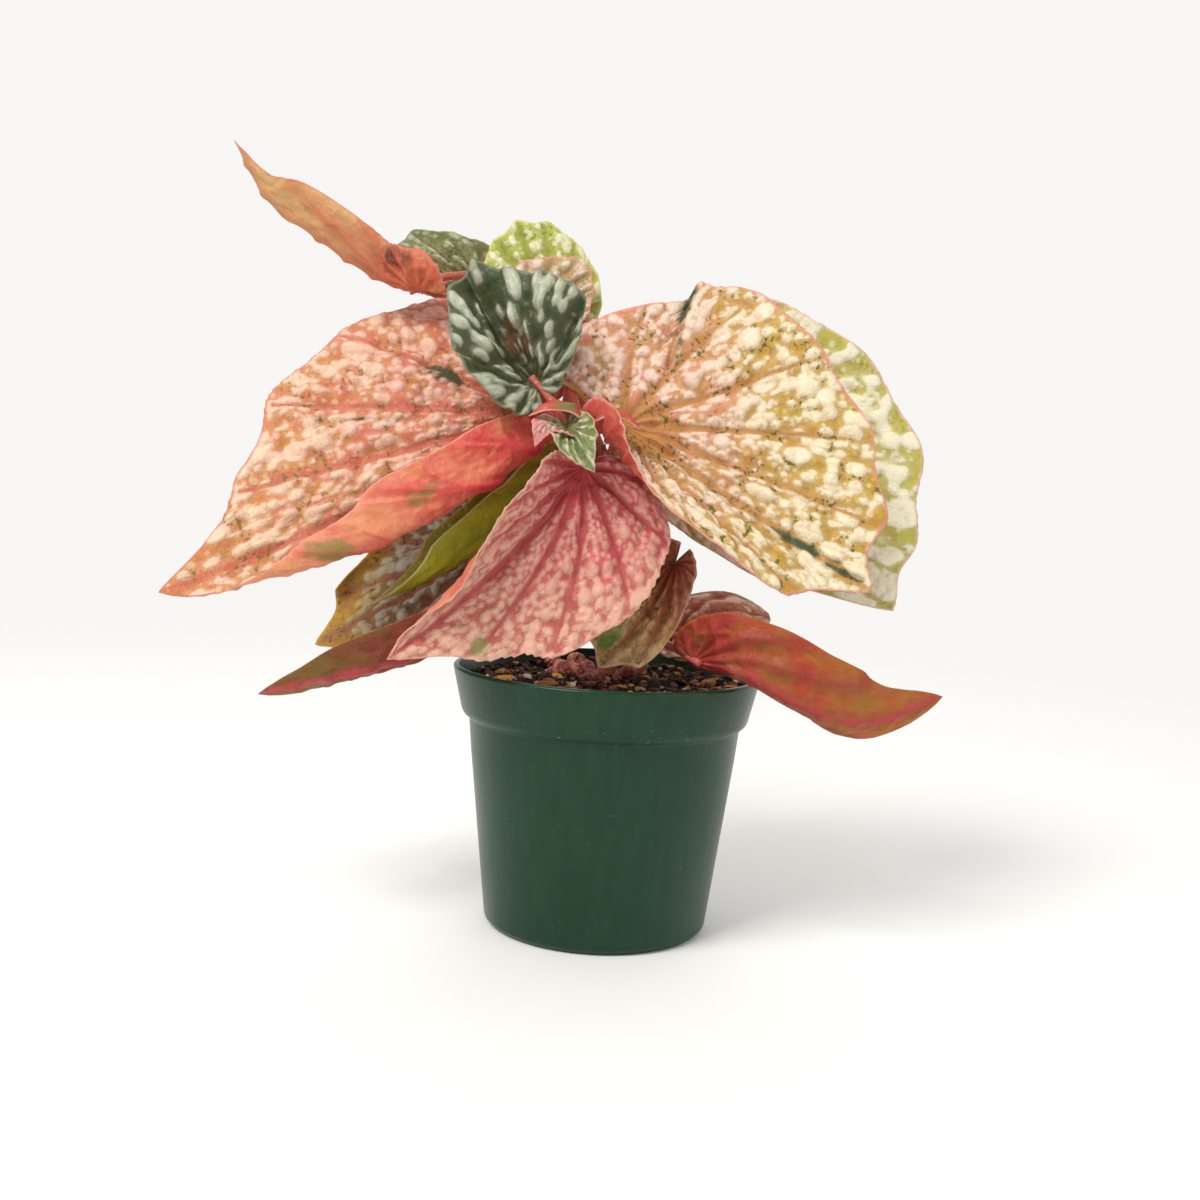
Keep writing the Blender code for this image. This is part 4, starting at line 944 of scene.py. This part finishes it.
# The young leaf at the tip of the front cane is still opening, whitish with green marks, and beside it a
# crumpled smaller one has just left its bud.
grow_leaf(
    "leaf_young", "leaf_lime", height=112, stalk=[(-9, -11, 117)], grid=(8, 32), seed=91, teeth=0.3,
    rib=[(-12, -20, 122), (-9, -26, 117), (-5, -29, 112)], face=(0.1, -0.9, 0.3),
    left=half((12, 10, 8, 6, 5, 4), rise=(50, 60, 55)), spots=(40, 0.7, 1.5, 1.3, 0.85, 0.2, 0.03),
    folds=[((2, 2), (9, 6), 0.8, 0.8, 0.8)], cushion=2.5, puff=0.6, groove=0.2,
    upper=upper_skin("young_upper", "d9b8a4 7a8a48 8f9a50 ece6d4 e4e2cc 6f7a3c c9b48c 4f6a30 4c6a34",
                     margin_width=0.5, turn_at=0.35),
    under=under_skin("young_under", "d9b0a0 cfd0a8 b0b880 a88a70 d9c9a8 7d8a4c"))
bud_skin = upper_skin("bud_upper", "e39a98 e8c4b4 a8a060 f2dcd0 efe6d2 d0707c e8a8a0 5f7a38 5f7a38",
                      margin_width=0.5)
grow_leaf(
    "leaf_bud", "leaf_lime", height=113, stalk=[(-10, -14, 118)], grid=(8, 28), seed=93, teeth=0.3,
    rib=[(-13, -20, 121), (-17, -24, 121.5), (-19, -26, 117)], face=(-0.1, -0.6, 0.8), node="leaf_young",
    left=half((8, 7, 6, 5, 4, 3), rise=(20, 30, 30)), spots=(26, 0.6, 1.2, 1.3, 0.85, 0.2, 0.03),
    folds=[((1, 1), (6, 5), 1.2, 0.7, 0.7), ((1, -1), (6, -5), 1.0, 0.7, 0.7)], cushion=2.2, puff=0.6,
    groove=0.2, stalk_radius=0.8, upper=bud_skin, under=bud_skin)

# Where the leaves meet, the cane carries its stipules: three curled scales, coral red, with a paler edge.
# They are thin as a leaf and grow from the cane's tip.
coral_scale = upper_skin("coral_scale", "d2564e dc7a62 c98a5c e8a08c ecb8a0 c04840 ecc0a4 6f6a3a 7d8048",
                         fleck_share=0.2, spot_share=0.3, margin_width=0.8)
STIPULES = {
    "stipule_left": ([(-9, -15, 124), (-12, -20, 127), (-17, -22, 126.5), (-21, -22, 124)], (0, -0.4, 0.9)),
    "stipule_rear": ([(-8, -9.5, 119), (-11.5, -9.5, 126.5), (-13, -9, 134.5)], (0, -0.95, 0.3)),
    "stipule_right": ([(-6, -15, 123), (-3, -19, 126), (1, -21, 125.5), (5, -21, 122)], (0.1, -0.3, 0.95)),
}
for name, (rib, face) in STIPULES.items():
    grow_leaf(
        name, "leaf_pink", rib, face, node="leaf_young", height=115, stalk=[(-6, -12, 121)],
        left=half((9, 6, 4, 3, 2.5, 2), rise=(-40, -50, -40), tip=1), grid=(6, 24), seed=95, crease=2,
        teeth=0.2, patches=[(8, 1, 2.5, 1.2, 0)], blister=0, groove=0.1, ridge=0.1, stalk_radius=0.8,
        upper=coral_scale, under=coral_scale)

# The studio: a pale floor without an edge, soft light from a large window on the left and above, and a
# camera a third of a metre in front of the plant, a little above the pot's rim.
FLOOR_REACH = 4.0  # metres
floor_corners = [(x * FLOOR_REACH, y * FLOOR_REACH, 0) for x, y in ((-1, -1), (1, -1), (1, 1), (-1, 1))]
floor = new_object("floor", new_mesh("floor", floor_corners, [(0, 1, 2, 3)]))
paper = Finish("paper", 0.9, 0.1)
paper.shader["Base Color"].default_value = colour("fafaf8")
away = put(paper.tree, "VectorMath", {0: paper.where}, "Value", operation="LENGTH")
floor.data.materials.append(paper.close(paper.grain(1.5, 3) * 0.02, alpha=away.fade(0.8, 0.05)))

LIT_AT = Vector((0, 0, 0.1))


def soft_light(name, place, size, power, warmth=(1, 1, 1)):
    light = bpy.data.lights.new(name, "AREA")
    light.size, light.energy, light.color = size, power, warmth
    thing = new_object(name, light)
    thing.location = place
    thing.rotation_euler = (LIT_AT - thing.location).to_track_quat("-Z", "Y").to_euler()


soft_light("window", (-0.55, -0.6, 1.0), 0.5, 10.5, (1, 0.98, 0.945))
soft_light("fill", (0.9, -0.6, 0.4), 0.9, 2.6)
soft_light("rear", (0.2, 0.9, 0.8), 0.8, 2.0)
world = bpy.data.worlds.new("studio")
bpy.context.scene.world = world
world.use_nodes = True
sky = world.node_tree
background = sky.nodes["Background"].inputs
background["Color"].default_value = (0.935, 0.925, 0.905, 1)
behind = put(sky, "SeparateXYZ", {"Vector": put(sky, "TexCoord", {}, "Generated")}, "Y")
strength = behind.fade(0.0, 0.75) * 0.46 + 0.54
sky.links.new(strength.socket, background["Strength"])
bpy.context.scene.view_settings.view_transform = "Standard"

CAMERA_AT, FOCAL, SENSOR = (0.0, -0.333, 0.1105), 40.5, 36
DOWN, TURN, ROLL = math.radians(5.1), math.radians(0.45), math.radians(3.0)
lens = bpy.data.cameras.new("lens")
lens.lens, lens.sensor_width, lens.sensor_fit, lens.clip_start = FOCAL, SENSOR, "HORIZONTAL", 0.01
camera = new_object("camera", lens)
forward = np.array([-math.sin(TURN) * math.cos(DOWN), math.cos(TURN) * math.cos(DOWN), -math.sin(DOWN)])
level = unit(np.cross(forward, [0, 0, 1]))
above = np.cross(level, forward)
right_way = math.cos(ROLL) * level + math.sin(ROLL) * above
up_way = math.cos(ROLL) * above - math.sin(ROLL) * level
stance = np.stack([right_way, up_way, -forward, CAMERA_AT], -1)
camera.matrix_world = Matrix([*stance.tolist(), [0, 0, 0, 1]])
bpy.context.scene.camera = camera
